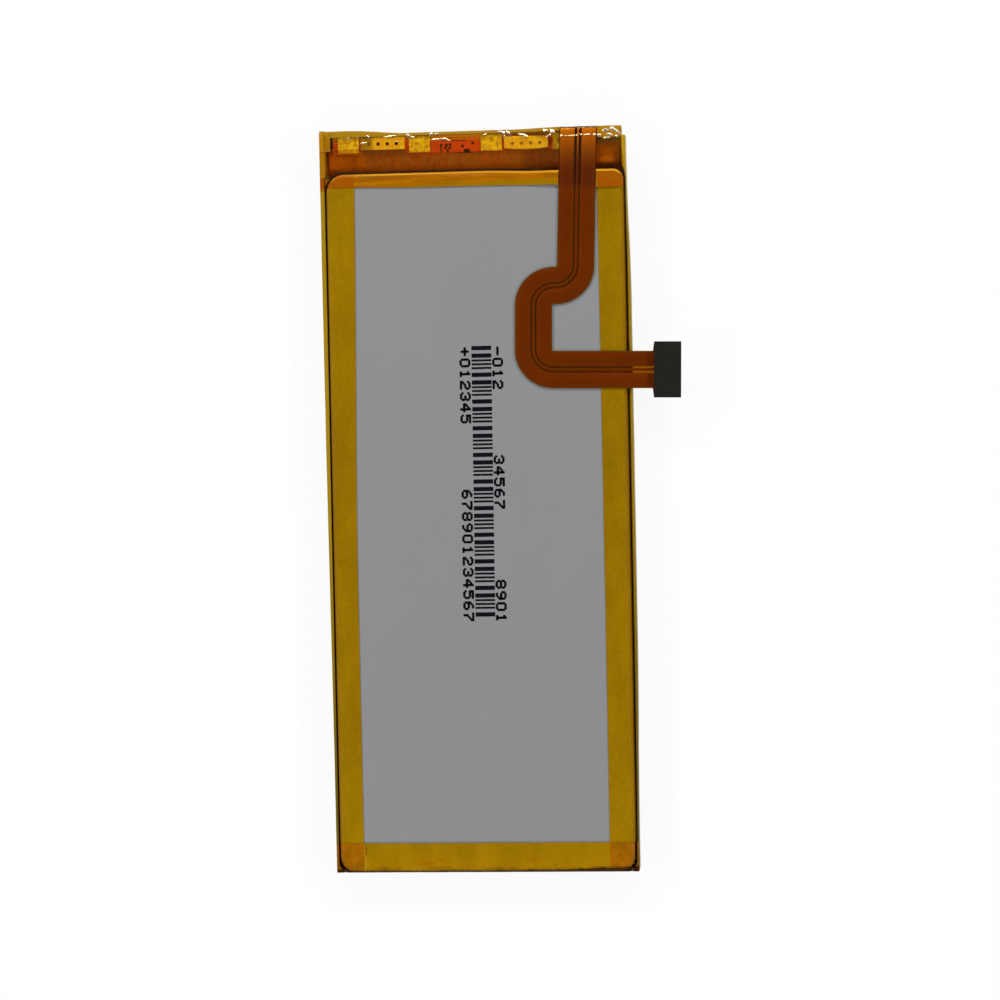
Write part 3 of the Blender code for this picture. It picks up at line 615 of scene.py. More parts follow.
def bottomTapeLook():
    look, x, y, z, colour = tapeLook("bottomTapeLook")
    onFace, onTop = z > 1, z.rise(2.8, 3.1)
    # red-brown over the side tapes, with orange blots beside them
    onSide = ((x < -16.25) + (x > 16.12)) * onFace
    smudge = look.mix(look.grain(0.9).rise(0.35, 0.65), *amber["doubleBottom"])
    colour = look.mix(y.fall(-48.4, -45.2) * 0.3, colour, bottomTape["orange"])
    colour = look.mix(onSide, colour, smudge)
    for spotX, spotY, wide, high in bottomTape["blots"]:
        ragged = ((x - spotX) / wide) ** 2 + ((y - spotY) / high) ** 2 + look.grain(1.3, detail=4) * 1.6
        colour = look.mix(ragged.fall(0.9, 1.8) * onFace * 0.5, colour, amber["double"])
    # a brown smear, the fold beside the left square and a dotted scratch
    smear = y.fall(-48.3, -47.5) * (x > -16) * look.grain(0.25, (1, 2.5, 1), detail=4).rise(0.42, 0.62)
    fold = abs(x + 16.1).fall(0.05, 0.25) * y.fall(-47, -46.2) * onFace
    scratch = (abs(x + 15.95 + (y + 46) * 0.05) < 0.06) * (y > -46.35) * (y < -45)
    scratch = scratch * (look.grain(4, (0.2, 1, 1)) > 0.45) * onFace
    # painted shade in the gap round the cup's corners, and what lies outside it
    past = look.pastCup(x, y)
    swell = (((abs(x) - 18.7) ** 2 + (y + 47.9) ** 2) ** 0.5).fall(0.5, 1.7) * 0.3
    gap = past.rise(0, 0.08) * (past - swell).fall(0.28, 0.4) * onTop
    # painted shade: dark brown along its lower edge, where it rounds over the cup's edge, and wider at the corners
    uneven = (look.grain(0.6) - 0.5) * 0.5 - x.rise(5, 17) * 0.3 - abs(x).rise(17.3, 18.8) * 0.1
    rim = (y + uneven).fall(-48.5, -48.1) * z.rise(2.9, 3.4)
    colour = look.layers(
        colour, {**amber, **bottomTape}, smear=smear * 0.7, fold=fold * 0.3, scratch=scratch * 0.9,
        outside=past.rise(0.35, 0.5) * onTop * 0.6, gapColour=gap, rim=rim * 0.95, dirt=look.dirt(0.9, 0.35) * 0.6,
    )
    look.paint(Base_Color=colour)
    return look


bottomMesh, bottomLook = makeBottomTape(), bottomTapeLook()
dress("bottomTape", bottomMesh, bottomLook, ["tape_bottom"], thickness=pack["tape"])


topTape = dict(
    flap=7.4, left=-20.12, right=19.27, crease=0.12, browRadius=0.35, low=2.66,
    flat=3.89, draw=0.1, drawn=(-12, 8.5), ramp=5, lift=0.09, sag=0.22, aside=0.15,
    overFlex=(11.1, 16.4), overFlexRise=0.13, sealLevel=3.47, bulge=0.34, thickness=0.04,
    # folds where the film is puckered: x, y, length, width and turn in degrees
    folds=[
        (-13.7, 47.9, 1, 0.22, -55), (-14.4, 47.2, 1.5, 0.16, 12), (-16.4, 47.9, 1.2, 0.14, -8),
        (-8.5, 48, 1, 0.24, -50), (-7.9, 47.8, 0.9, 0.2, -25), (-5.45, 48.1, 0.8, 0.2, 78),
        (-4.7, 48.15, 0.6, 0.2, -35), (-4.4, 47.45, 2.8, 0.2, 3), (-3.4, 47.3, 1.3, 0.16, -8),
        (-10.9, 48, 2.2, 0.16, 4), (-10, 47.3, 1.2, 0.12, -14),
        (3.8, 48.1, 1.3, 0.24, -20), (4.7, 47.9, 1.2, 0.24, -50), (4.1, 47.5, 0.8, 0.2, 60),
        (6.5, 47.65, 1.6, 0.26, -14), (7, 47.4, 0.9, 0.2, -24), (9.5, 48.15, 0.9, 0.2, -40),
        (10.45, 47.95, 1, 0.24, -48), (9.9, 47.4, 0.9, 0.2, 30), (1.6, 47.9, 1.2, 0.14, 6),
        (11.6, 47.3, 0.5, 0.18, 30), (12.1, 47.25, 0.5, 0.16, -50), (12.8, 47.3, 0.6, 0.18, 10),
        (13.4, 47.3, 0.6, 0.2, 8), (14.1, 47.4, 0.5, 0.2, -12), (14.7, 47.35, 0.4, 0.2, 60),
        (15.2, 47.4, 0.4, 0.22, 20), (15.9, 47.35, 0.5, 0.18, 50), (16.4, 47.3, 0.6, 0.2, 10),
        (17.3, 47.95, 0.9, 0.24, 15), (18.1, 48.2, 0.8, 0.22, 45), (18.7, 47.8, 1.4, 0.2, -38),
        (17.8, 47.4, 0.9, 0.2, -10), (17.4, 46.9, 1.1, 0.2, 12), (18.6, 47.1, 0.5, 0.18, 70),
    ],
    foldSlope=0.41,
    # its colours on the cup's edge with a painted highlight on the rim, along its upper end with a painted shade
    # over the flex's fold, a painted shade beside the cup, painted light over the terrace's ends, and as clear film
    face=((0.44, 0.145, 0.0005), (0.27, 0.088, 0.0003)), olive=(0.31, 0.15, 0.0004),
    lit=(0.8, 0.36, 0.014), brow=(0.42, 0.225, 0.005), corner=(0.42, 0.18, 0.002),
    flexFoldShade=(0.09, 0.03, 0.001), dip=(0.02, 0.006, 0), haze=(0.62, 0.14, 0.002),
    shine=(1, 0.8, 0.42), share=0.06, crest=(1, 0.92, 0.68), crestShare=0.34,
    tint=(0.985, 0.88, 0.45),
)


flex = dict(
    width=4.85, thickness=0.15, skew=2.08, lean=0.89, foot=1.5, corner=0.2,
    fold=(13.75, 47.652), low=2.525, high=3.935, bend=0.0299, bendStart=43.46, tip=48.06,
    drop=17.1, jog=0.23, side=5.65, reach=12.9, neck=0.15, head=3.5, headWidth=7.25,
    columns=[-2.425, -2.3, -2.26, -0.45, -0.41, -0.19, -0.15, 0.15, 0.19, 0.41, 0.45, 2.26, 2.3, 2.425],
    relief=0.022, slopeSteps=12, foldSteps=14, bendSteps=24,
    # pale is a painted highlight up the slope, dark a painted shade at the fold
    copper=((0.145, 0.0225, 0.0003), (0.18, 0.03, 0.0004)), pale=(0.58, 0.22, 0.002),
    dark=(0.05, 0.016, 0), film=((0.09, 0.028, 0.0006), (0.16, 0.075, 0.001)),
    bare=(0.04, 0.003, 0), tint=(0.92, 0.55, 0.08),
)


# The height of the flex circuit where it bends down to its fold.
def flexHeight(y):
    return flex["high"] - flex["bend"] * max(y - flex["bendStart"], 0) ** 2


# The height of the top tape beyond the cup's edge.
def freeHeight(x, y):
    t = max(pastEdge(x - topTape["aside"] * (x > 0), y - topTape["lift"]) + 0.5, 0)
    level = topTape["flat"] - 0.5 * (1 - math.exp(-((t / 0.5) ** 2))) - 0.125 * t
    level += 0.04 * lumps((x, y, 0), 2.4, 1) * ease(t, 0.8, 2)
    left, right = topTape["overFlex"]
    raised = ease(x, left - topTape["ramp"], left) * (1 - ease(x, right, right + topTape["ramp"]))
    level += raised * (flexHeight(y) + topTape["overFlexRise"] - level)
    onSeal = 1 - ease(x, -19.75, -19.25)
    return level + onSeal * (topTape["sealLevel"] - level)


def makeTopTape():
    taut = pack["top"] - pack["tape"] / 2
    edge = pack["top"] - topTape["flap"]
    corners = [
        (edge, pack["tape"] / 2, 0), (taut, pack["tape"] / 2, topTape["crease"]),
        (taut, topTape["low"], topTape["browRadius"]), (edge, topTape["low"], 0),
    ]
    mesh = folded(corners, topTape["left"], topTape["right"] - topTape["left"], "x")
    divide(mesh, 0, 0.12)
    divide(mesh, 1, 0.2)
    divide(mesh, 1, 0.07, 46.6)
    faceUp(mesh)
    crease = mesh.verts.layers.float.new("crease")
    browStart = taut - topTape["browRadius"]
    slack, firm = topTape["drawn"]
    for vert in mesh.verts:
        x, y, z = vert.co
        if z < 0.3 and y < taut - 0.3:
            continue
        if y < browStart:
            z = vert.co.z = freeHeight(x, y)
        else:
            vert.co.z = z * freeHeight(x, browStart) / topTape["low"]
        # drawn in between what holds it, and bulged out at its left end
        draw = topTape["draw"] * ease(x, slack - 3, slack + 3) * (1 - ease(x, firm - 3, firm + 1.5))
        bulge = topTape["bulge"] * (1 - ease(x, -16.5, -9))
        vert.co.y += (bulge - draw + 0.03 * lumps((x, 0, 0), 1.3, 8)) * ease(y, pack["cupTop"] + 1, taut)
        if z > 3:
            longer = 0.5 * ease(x, 9, 17) + 0.1 * ease(x, 0, 9) - 0.2 * (1 - ease(x, -17, -6))
            vert.co.y -= longer * (1 - ease(y, edge, edge + 1.2))
    mesh.normal_update()
    for vert in mesh.verts:
        x, y, z = vert.co
        if z < 0.8:
            continue
        vert.co.x += 0.3 * ease(x, 18, 19.27) * ease(48.6 - y, 0, 5.5)
        if y < pack["cupTop"] - 0.4:
            continue
        ruck = 0
        for spotX, spotY, length, width, turn in topTape["folds"] if y > 46.2 else ():
            if abs(x - spotX) > length:
                continue
            away = Matrix.Rotation(math.radians(-turn), 2) @ Vector((x - spotX, y - spotY))
            taper = 1 - min(abs(away.x) / length * 2, 1) ** 2
            inside = max(width * taper - abs(away.y), 0)
            ruck += topTape["foldSlope"] * inside
            vert[crease] = max(vert[crease], min(inside / 0.05, 1))
        loose = ease(y, pack["cupTop"], pack["cupTop"] + 1.5)
        waves = 0.012 * lumps((x, y, z), 0.9, 4) + 0.003 * lumps((x, y, z), 0.35)
        vert.co += vert.normal * (ruck + loose * waves)
        # the end beside the seal is cut back below the corner
        leftEnd = -19.2 - 0.92 * ease(y, 45.7, 46.3)
        if x < -18.4:
            vert.co.x = -18.4 + (x + 18.4) * (leftEnd + 18.4) / (topTape["left"] + 18.4)
    return mesh


def topTapeLook():
    look, x, y, z, colour = tapeLook("topTapeLook")
    onFace = z > 1
    past = look.pastCup(x - topTape["aside"], y - topTape["lift"] + x.rise(1, 9) * topTape["sag"])
    # orange on the cup's edge with an olive lower edge, and red-brown over the side tapes
    streaks = look.grain(0.6, (0.3, 2.6, 1), detail=4).rise(0.32, 0.66)
    smudge = look.mix(look.grain(0.8, (0.6, 1.4, 1)).rise(0.35, 0.7), *amber["doubleTop"])
    # painted highlight along the cup's rounded rim, in streaks, fainter at the left
    lit = past.rise(-0.34, -0.2) * (0.55 + streaks * 0.3) * (0.4 + x.rise(-18, -13) * 0.6) * y.rise(42, 42.7)
    low = (y - x * 0.016).fall(41.55, 41.9) * (0.35 + x.rise(-16, 4) * 0.65)
    face = look.mix(low, look.mix(streaks, *topTape["face"]), topTape["olive"])
    face = look.mix(lit, look.mix((x < -15.65) + (x > 16.09), face, smudge), topTape["lit"])
    # beyond the cup only a thin clear film, painted dark as a shade line where it drops beside the cup's edge, and
    # held down at its left end
    free = past.rise(-0.03, 0.02) * (z > 0.3)
    beside = free * past.fall(0.16, 0.5) * onFace
    held = x.fall(-18.85, -18.78) * y.rise(46.2, 46.3) * onFace
    overFlex = (abs(x - 13.75 + (47.65 - y) * 0.0363) < 2.44) * onFace
    # olive along its upper end, and further down at the right, with a painted shade over the flex's fold
    ragged = (look.grain(1.6) - 0.5) * 0.5
    brow = (y + ragged * (x > 16.2) - 48.03 + (x > 16.2) * 0.95 - overFlex * 0.39).rise(0, 0.08)
    upper = look.mix(overFlex * (z > 2.4), topTape["brow"], topTape["flexFoldShade"])
    upper = look.mix(y.rise(47.9, 48.2).either(overFlex), topTape["corner"], upper)
    open = (past > 0.6).either(overFlex) * (z > 0.3) * (1 - held) * (1 - brow)
    film = past.rise(0.8, 1.1).either(overFlex) * open * x.rise(-18.9, -18.4)
    crest = look.add("Attribute", out="Fac", attribute_name="crease") * (past > 0.6) * (z > 2.3)
    # painted light: an orange veil over both ends of the terrace, which lie in shade under the film
    right = x.rise(16, 17) * x.fall(17.9, 19) * (0.12 + streaks * 0.16)
    left = x.fall(-17.5, -14) * x.rise(-19, -18.6) * 0.12
    paintedLightShare = right.either(left) * y.rise(43.5, 44.2) * y.fall(45.2, 46.2) * (z > 2)
    colour = look.layers(
        colour, {**topTape, "face": face, "upper": upper}, face=onFace, dip=free, upper=held.either(brow),
        shine=open, haze=paintedLightShare > 0.001, crest=crest,
    )
    bright = (open * (paintedLightShare < 0.001)).either(crest)
    look.paint(Base_Color=colour, Metallic=bright, Roughness=0.35 - bright * 0.25 + crest * 0.12)
    solid = (1 - free).either(held) * 0.97
    covered = (solid.either(beside * 0.75) * (1 - overFlex)).either(brow * 0.8)
    share = (film * topTape["share"]).either(covered).either(crest * topTape["crestShare"]).either(paintedLightShare)
    look.seeThrough(share, topTape["tint"])
    return look


topMesh, topLook = makeTopTape(), topTapeLook()
dress("topTape", topMesh, topLook, ["tape_top"], thickness=topTape["thickness"], smooth=70)


print("terrace and board")

terrace = dict(
    colour=(1, 0.3, 0.006), dark=(0.62, 0.155, 0.001), pale=(0.78, 0.33, 0.01), shadow=(0.12, 0.03, 0)
)
look = Look("terraceLook", Roughness=0.6, gloss=0.1)
x, y, z = look.axes()
fibres = look.grain(1.5, (1.5, 0.8, 1), detail=4, rough=0.7)
shadow = y.fall(43, 45.6) * (1 - x.rise(16, 16.6) * 0.5)
patches = look.grain(0.45, (1, 0.6, 1)).rise(0.45, 0.65)
# painted light: the left end takes the bright colour without dark fibres, where it lies in shade, and a painted
# shadow darkens it towards the cup's wall
colour = look.layers(
    look.mix(fibres.rise(0.3, 0.75), terrace["colour"], terrace["dark"]), terrace,
    pale=patches * 0.5, colour=x.fall(-18.5, -15) * 0.8, shadow=shadow * 0.85,
)
look.paint(Base_Color=colour)
look.bump(fibres, 0.03)
paintNodes(look, "terrace_strip")

board = dict(
    colour=(0.58, 0.068, 0.002), band=(0.72, 0.23, 0.006), behind=(0.8, 0.4, 0.02),
    front=(0.3, 0.075, 0.002), dash=(0.1, 0.02, 0.001), level=2.26,
)
look = Look("boardLook", Roughness=0.4, gloss=0.4)
x, y, z = look.axes()
dash = (abs(y - 47.3) < 0.07) * (abs(x + 2.5) < 1.6)
dots = (abs(y - 47.72) < 0.09) * (abs(x + 2.3) < 1.2) * (look.grain(3.4, (1, 0.1, 1), detail=0) > 0.52)
# brown along its front, left of the second pad
front = (x < -8.6) * (x > -18.4) * (y < 46.42)
colour = look.layers(
    look.mix(look.grain(2.5), scaled(board["colour"], 0.85), scaled(board["colour"], 1.1)), board,
    band=(y > 47.35) * 0.8, dash=dash.either(dots), front=front, behind=y.rise(47.7, 47.8),
)
look.paint(Base_Color=colour)
look.bump(look.grain(14, detail=1), 0.006)
paintNodes(look, "protection_board")

look = Look("chipLook", Base_Color=(0.02, 0.02, 0.02), gloss=0.3)
look.paint(Roughness=0.45 + look.grain(20) * 0.2)
look.bump(look.grain(25), 0.005)
paintNodes(look, "switch_chip", "guard_chip", "chip_resistor")
look = plainLook("ceramicLook", 8, (0.3, 0.2, 0.11), (0.42, 0.3, 0.18), Roughness=0.4)
paintNodes(look, "chip_capacitor", "thermistor")
blacks = (0.012, 0.012, 0.012), (0.05, 0.05, 0.05)
look = plainLook("spacerFoamLook", 12, *blacks, Roughness=0.9, gloss=0.1)
look.bump(look.grain(15), 0.04)
paintNodes(look, "board_spacer")
look = plainLook("sealingFilmLook", 1, (0.7, 0.66, 0.55), (0.85, 0.82, 0.72), Roughness=0.35)
paintNodes(look, "tab_film")
look = Look("plateLook", Metallic=0.3, Roughness=0.4)
tone = look.mix(look.grain(3), (0.5, 0.34, 0.12), (0.8, 0.6, 0.26))
look.paint(Base_Color=look.mix(look.axes()[1].rise(47.45, 47.6), tone, (0.34, 0.1, 0.004)))
paintNodes(look, "weld_plate")

vias = dict(
    hole=0.11, ring=0.19, high=0.02, sides=16,
    spots=[
        (-3.67, 46.4), (-3.54, 46.75), (-3.05, 46.78), (-3.12, 46.35), (-3.4, 46.02), (-1.44, 46.55), (-0.1, 46.9),
    ],
)
viaMesh = bmesh.new()
for x, y in vias["spots"]:
    ring = disc(viaMesh, x, y, board["level"], vias["ring"], vias["high"], vias["sides"])
    faces = {face for vert in ring for face in vert.link_faces}
    top = max(faces, key=lambda face: face.calc_center_median().z)
    bmesh.ops.inset_region(viaMesh, faces=[top], thickness=vias["ring"] - vias["hole"])
    bmesh.ops.translate(viaMesh, vec=(0, 0, -vias["high"] * 0.9), verts=top.verts)
look = plainLook("viaLook", 10, (0.05, 0.006, 0), (0.09, 0.012, 0.001), Roughness=0.4, Metallic=0.4)
dress("boardVias", viaMesh, look, smooth=30)

nickel = dict(dull=(0.52, 0.34, 0.025), pale=(1, 0.84, 0.12), stain=(0.42, 0.15, 0.004))
nickelLook = look = Look("nickelLook", Metallic=0.2)
dents = look.grain(1.7, rough=0.6, twist=0.6)
x, y, z = look.axes()
metal = look.mix(dents.rise(0.3, 0.68), nickel["dull"], nickel["pale"])
# painted shade: the first pad darker along its front, where it bends down
metal = look.mix((x < -15) * (y < 46.5) * 0.6, metal, nickel["stain"])
look.paint(Base_Color=metal, Roughness=0.3 + dents * 0.15)
look.bump(look.grain(2.2, twist=0.6), 0.12)

pads = dict(
    spots={-16.45: 0.08, -7.05: 0, 2.35: -0.07, 11.75: -0.12}, width=2.75, back=48, front=46.05,
    drop=0.37, middle=2.355, forward=0.09, thickness=0.15,
)


def makePad(x, shift):
    front, level = pads["front"] + shift - pads["forward"], pads["middle"]
    corners = [(pads["back"] + shift, level, 0), (front, level, 0.12), (front, level - pads["drop"], 0)]
    mesh = folded(corners, x - pads["width"] / 2, pads["width"], "x")
    divide(mesh, 0, 0.08)
    divide(mesh, 1, 0.08)
    faceUp(mesh)
    for vert in mesh.verts:
        crush = abs(lumps(vert.co, 0.55, x)) * 0.6 + lumps(vert.co, 0.25, x + 2) * 0.3
        vert.co += vert.normal * 0.1 * crush
    return mesh


for count, (x, shift) in enumerate(pads["spots"].items(), 1):
    name, replaced = f"solderPad{count}", [f"solder_pad_{count}"]
    dress(name, makePad(x, shift), nickelLook, replaced, thickness=pads["thickness"], offset=-0.4)

tabs = dict(
    positive=dict(x=-11.9, shift=-0.05, pit=0.26, deep=0.05, bow=0, dark=(0.5, 1)),
    negative=dict(x=6.9, shift=-0.5, pit=0.26, deep=0.09, bow=0.18, dark=(0.75, 0.75)),
    width=5.75, pitch=1.2, front=46.29, wall=48.15, level=2.5, exit=0.27, thickness=0.1,
    bend=0.25, welds=4, weldLine=0.86,
    metal=((0.95, 0.58, 0.08), (1, 0.84, 0.2)), stain=(0.3, 0.16, 0.06),
    # noseShade is a painted shade along each tab's front edge
    pitColour=(0.03, 0.006, 0), noseShade=(0.05, 0.015, 0),
)


# The welds' places along a tab, from its middle.
def weldSpots(data):
    return [data["x"] + (step - (tabs["welds"] - 1) / 2) * tabs["pitch"] for step in range(tabs["welds"])]


def makeTab(data):
    x = data["x"]
    front, wall = tabs["front"] + data["shift"], tabs["wall"] + data["shift"]
    corners = [
        (pack["terraceEnd"] + 0.02, tabs["exit"], 0), (wall, tabs["exit"], tabs["bend"]),
        (wall, tabs["level"], tabs["bend"]), (front, tabs["level"], 0),
    ]
    mesh = folded(corners, x - tabs["width"] / 2, tabs["width"], "x")
    divide(mesh, 0, 0.07)
    divide(mesh, 1, 0.07)
    faceUp(mesh)
    for vert in mesh.verts:
        if vert.co.z < 2:
            continue
        for spot in weldSpots(data):
            away = Vector((vert.co.x - spot, vert.co.y - front - tabs["weldLine"])).length
            vert.co.z -= data["deep"] * (1 - ease(away, data["pit"] * 0.45, data["pit"]))
        span = abs(vert.co.x - x) / tabs["width"] * 2
        nose = 1 - ease(vert.co.y, front, front + 0.9)
        vert.co.y += data["bow"] * span * span * nose
        vert.co.z += 0.015 * lumps(vert.co, 0.8, x) + 0.03 * nose * span * span
    return mesh


def tabLook(name, data):
    look = Look(name, Metallic=0.25)
    x, y, z = look.axes()
    front, onTop = tabs["front"] + data["shift"], z > 2
    dirt = look.grain(1.4, detail=4)
    colour = look.mix(dirt.rise(0.3, 0.7), *tabs["metal"])
    # duller at the first weld of the positive tab, whose pit is filled
    colour = look.mix((x + dirt * 0.8).fall(-13.3, -12.5) * onTop * 0.75, colour, tabs["stain"])
    first, others = data["dark"]
    for step, spot in enumerate(weldSpots(data)):
        away = ((x - spot) ** 2 + (y - front - tabs["weldLine"]) ** 2) ** 0.5
        pit = away.fall(data["pit"] * 0.7, data["pit"] * 1.1) * (others if step else first)
        colour = look.mix(pit * onTop, colour, tabs["pitColour"])
    # painted shade along each tab's front edge, following its bow
    span = abs(x - data["x"]) * (2 / tabs["width"])
    nose = (y - span * span * data["bow"]).fall(front + 0.06, front + 0.2)
    colour = look.mix(nose * onTop * 0.85, colour, tabs["noseShade"])
    look.paint(Base_Color=colour, Roughness=0.28 + dirt * 0.12)
    look.bump(look.grain(2, (1, 4, 1)), 0.02)
    return look


for pole in ("positive", "negative"):
    tabMesh, look = makeTab(tabs[pole]), tabLook(f"{pole}TabLook", tabs[pole])
    dress(f"{pole}Tab", tabMesh, look, [f"tab_{pole}"], thickness=tabs["thickness"])


print("flex circuit")


# The last row of edges of a ribbon, which grows and turns.
class Row:
    def __init__(self, mesh, points):
        self.mesh = mesh
        verts = [mesh.verts.new(point) for point in points]
        self.edges = [mesh.edges.new(pair) for pair in zip(verts, verts[1:])]

    def grow(self, vector, spread=1):
        grown = pull(self.mesh, self.edges, vector)
        verts = only(bmesh.types.BMVert, grown)
        middle = sum((vert.co for vert in verts), Vector()) / len(verts)
        for vert in verts:
            vert.co = middle + (vert.co - middle) * spread
        self.edges = [edge for edge in only(bmesh.types.BMEdge, grown) if all(vert in verts for vert in edge.verts)]

    def turn(self, centre, axis, angle, steps):
        row = self.edges + list({vert for edge in self.edges for vert in edge.verts})
        spun = bmesh.ops.spin(self.mesh, geom=row, cent=centre, axis=axis, angle=angle, steps=steps, dvec=(0, 0, 0))
        self.edges = only(bmesh.types.BMEdge, spun["geom_last"])

    def middle(self):
        ends = sorted((vert.co for edge in self.edges for vert in edge.verts), key=lambda co: (co.x, co.y))
        return (ends[0] + ends[-1]) / 2


def makeFlex():
    mesh = bmesh.new()
    across = mesh.verts.layers.float.new("across")
    row = Row(mesh, [(offset, -flex["foot"], flex["low"]) for offset in flex["columns"]])
    for vert in mesh.verts:
        vert[across] = vert.co.x
    # up round the fold and on up the slope to the face
    tip = flex["tip"] - flex["fold"][1]
    stretch = flex["tip"] - flex["bendStart"]
    slope = math.atan(2 * flex["bend"] * stretch)
    radius = (flexHeight(flex["tip"]) - flex["low"]) / (1 + math.cos(slope))
    row.grow((0, flex["foot"] + tip, 0))
    row.turn((0, tip, flex["low"] + radius), (1, 0, 0), math.pi - slope, flex["foldSteps"])
    for step in range(1, flex["slopeSteps"] + 1):
        y = flex["tip"] - stretch * step / flex["slopeSteps"]
        row.grow(Vector((0, y - flex["fold"][1], flexHeight(y))) - row.middle())
    heading = Vector((0, -1, 0))
    row.grow((0, -0.2, flex["high"] - row.middle().z))
    row.grow((0, -(flex["drop"] + row.middle().y), 0))
    square = math.radians(90)
    bends = [-(square - math.radians(flex["lean"])), square, square]
    for run, angle in zip((0, flex["jog"], flex["side"]), bends):
        if run:
            row.grow(heading * run)
        inward = heading.cross((0, 0, -math.copysign(1, angle)))
        centre = row.middle() + inward * (flex["width"] / 2 + flex["corner"])
        row.turn(centre, (0, 0, 1), angle, flex["bendSteps"])
        heading = Matrix.Rotation(angle, 3, "Z") @ heading
    row.grow(heading * flex["reach"])
    row.grow(heading * flex["neck"], flex["headWidth"] / flex["width"])
    neck = row.middle()
    row.grow(heading * flex["head"])
    bmesh.ops.remove_doubles(mesh, verts=mesh.verts, dist=1e-4)
    bmesh.ops.recalc_face_normals(mesh, faces=mesh.faces)
    upper = [face for face in mesh.faces if face.calc_center_median().z > flex["high"] - 0.01]
    if upper[0].normal.z < 0:
        bmesh.ops.reverse_faces(mesh, faces=mesh.faces)
    mesh.normal_update()
    for vert in mesh.verts:
        offset = abs(vert[across])
        if 0.18 < offset < 0.42 or offset > 2.28:
            vert.co -= vert.normal * flex["relief"]
    place = Matrix.Translation((*flex["fold"], 0)) @ Matrix.Rotation(-math.radians(flex["skew"]), 4, "Z")
    bmesh.ops.transform(mesh, matrix=place, verts=mesh.verts)
    head = place @ (neck + heading * flex["head"] / 2)
    ahead = (place.to_3x3() @ heading).normalized()
    return mesh, head, math.atan2(ahead.y, ahead.x)


look = Look("flexLook", Metallic=0.4, gloss=0.06)
x, y, z = look.axes()
strand = abs(look.add("Attribute", out="Fac", attribute_name="across"))
bare = (y > 41.1) * (z > 3)
slack = 0.07 * bare
gapLine = (strand + slack).rise(0.15, 0.18) * (strand - slack).fall(0.41, 0.44)
margin = strand.rise(2.26, 2.31)
tone = look.grain(0.3)
# painted highlight: paler up the slope towards the fold; painted shade: dark at the fold's top
copper = look.mix(tone, *flex["copper"])
copper = look.mix(((y - 42.6) / 5.6).either(0).least(1) ** 1.5 * (z > 2.6), copper, flex["pale"])
copper = look.mix(y.rise(48.3, 48.45) * 0.8, copper, flex["dark"])
film = look.mix(bare, look.mix(margin, *flex["film"]), flex["bare"])
look.paint(Base_Color=look.mix(gapLine.either(margin), copper, film), Roughness=0.36 + tone * 0.08)
look.bump(look.grain(4), 0.006)
look.seeThrough(1 - gapLine * 0.5 * (1 - bare) - margin * 0.3, flex["tint"])
flexMesh, headSpot, headTurn = makeFlex()
dress("flexRibbon", flexMesh, look, ["flex_circuit"], thickness=flex["thickness"], smooth=35)


print("connector")

connector = dict(length=3.5, width=7.25, foam=0.5, level=4.25, round=0.12)
headPlace = Matrix.Translation((headSpot.x, headSpot.y, 0)) @ Matrix.Rotation(headTurn, 4, "Z")


def makeFoamPad():
    mesh = bmesh.new()
    size = (connector["length"], connector["width"], connector["foam"])
    centre = (0, 0, connector["level"] + connector["foam"] / 2)
    box(mesh, size, centre, connector["round"])
    divide(mesh, 0, 0.1)
    divide(mesh, 1, 0.1)
    for vert in mesh.verts:
        if vert.co.z > connector["level"] + 0.1:
            rib = math.sin(vert.co.y * 9 + lumps(vert.co, 0.9) * 1.5)
            vert.co.z += 0.006 * rib - 0.012 + 0.01 * lumps(vert.co, 0.35)
    bmesh.ops.transform(mesh, matrix=headPlace, verts=mesh.verts)
    return mesh


look = Look("foamPadLook", Roughness=0.85, gloss=0.15)
cells = look.grain(9, (0.25, 1.3, 1), rough=0.7)
look.paint(Base_Color=look.mix(cells.rise(0.3, 0.75), (0.007, 0.007, 0.006), (0.013, 0.013, 0.01)))
look.bump(cells, 0.03)
dress("connectorFoam", makeFoamPad(), look, ["connector_pad"], smooth=50)

steel = (3, (0.5, 0.5, 0.48), (0.66, 0.66, 0.63), (0.3, 0.2, 5), (1, 6, 1))
paintNodes(plainLook("steelLook", *steel, Metallic=1), "connector_stiffener")
plastic = (6, (0.03, 0.028, 0.026), (0.05, 0.046, 0.042), (0.4, 0.2, 12))
paintNodes(plainLook("housingLook", *plastic, gloss=0.4), "connector_housing")
gold = (9, (0.8, 0.56, 0.2), (0.92, 0.7, 0.3), (0.2, 0.15, 9))
paintNodes(plainLook("contactLook", *gold, Metallic=1), "power_contact", "signal_contact")


print("plain print on the face")

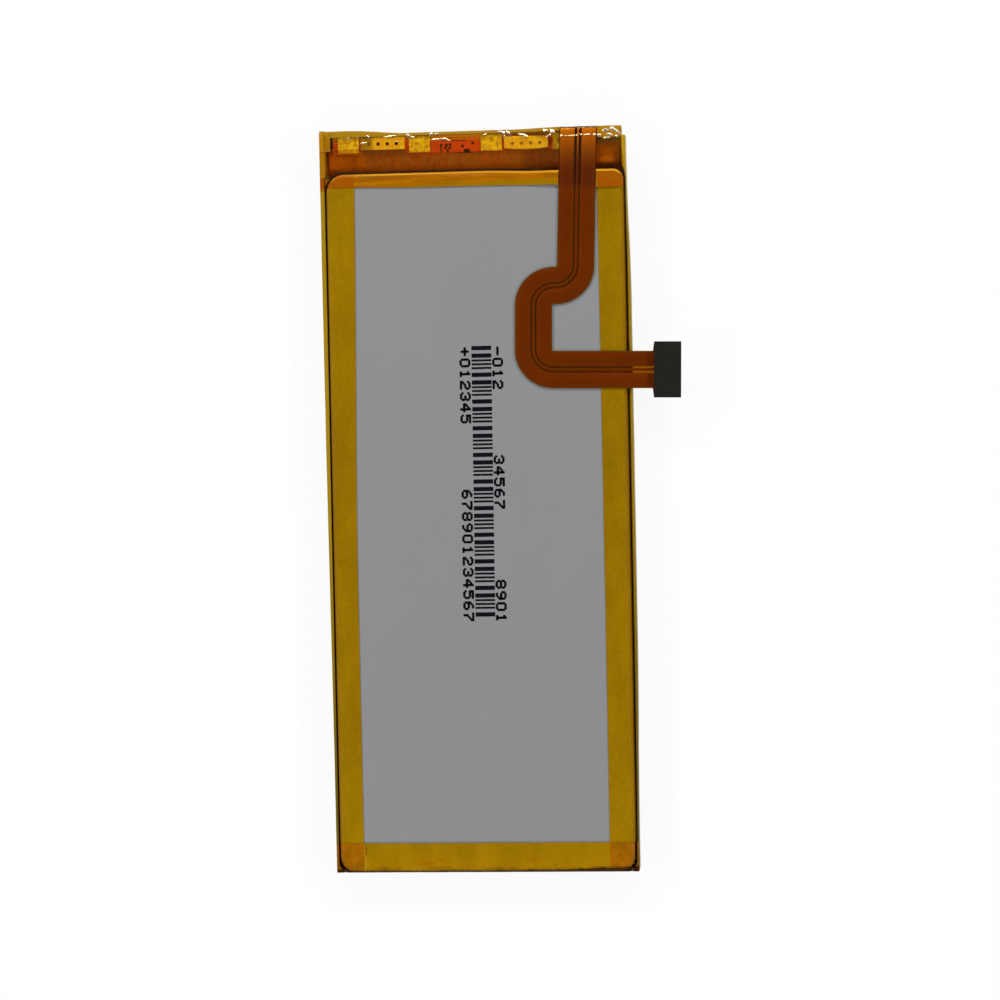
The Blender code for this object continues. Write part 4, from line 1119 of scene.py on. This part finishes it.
ink = dict(
    level=3.76, high=0.008, x=0.51, top=20.43, bottom=-15.6, width=2.6, lean=0.19,
    dot=0.185, sides=7, pitch=(0.187, 0.215), step=1.46,
    rows=(
        (2.62, 20.15, "-012"), (2.62, 6, "34567"), (2.62, -10.3, "8901"),
        (-1.66, 20.15, "+012345"), (-1.66, 1.55, "678901234567"),
    ),
    # thickness of each bar and the gap after it, over and over
    bars=((0.56, 0.43), (0.56, 0.2), (0.27, 0.23), (0.27, 0.23), (0.27, 0.46)),
)
digits = {
    "0": "01110 10001 10001 10001 10001 10001 01110", "1": "00100 01100 00100 00100 00100 00100 01110",
    "2": "01110 10001 00001 00110 01000 10000 11111", "3": "01110 10001 00001 00110 00001 10001 01110",
    "4": "00010 00110 01010 10010 11111 00010 00010", "5": "11111 10000 11110 00001 00001 10001 01110",
    "6": "00110 01000 10000 11110 10001 10001 01110", "7": "11111 00001 00010 00100 01000 01000 01000",
    "8": "01110 10001 10001 01110 10001 10001 01110", "9": "01110 10001 10001 01111 00001 00010 01100",
    "+": "00000 00100 00100 11111 00100 00100 00000", "-": "00000 00000 00000 11111 00000 00000 00000",
}


def printedX(x, y):
    slip = ink["lean"] * (ink["top"] - y) / (ink["top"] - ink["bottom"])
    return x - slip + ink["lean"] / 2


def makeBars():
    mesh = bmesh.new()
    y = ink["top"]
    for thick, gap in ink["bars"] * 11:
        if y - thick < ink["bottom"]:
            break
        centre = (printedX(ink["x"], y), y - thick / 2, ink["level"] + ink["high"] / 2)
        box(mesh, (ink["width"], thick, ink["high"]), centre)
        y -= thick + gap
    return mesh


def makeDigits():
    mesh = bmesh.new()
    for x, start, text in ink["rows"]:
        for count, sign in enumerate(text):
            for index, bit in enumerate(digits[sign]):
                if bit == "1":
                    line, column = divmod(index, 6)
                    spotY = start - count * ink["step"] - column * ink["pitch"][1]
                    spotX = printedX(x, spotY) - (line - 3) * ink["pitch"][0]
                    disc(mesh, spotX, spotY, ink["level"], ink["dot"], ink["high"], ink["sides"])
    return mesh


inks = (0.0015, 0.0015, 0.003), (0.006, 0.006, 0.009)
look = plainLook("inkLook", 5, *inks, Roughness=0.6, gloss=0.05)
dress("printedBars", makeBars(), look, smooth=0)
dress("printedDigits", makeDigits(), look, smooth=0)
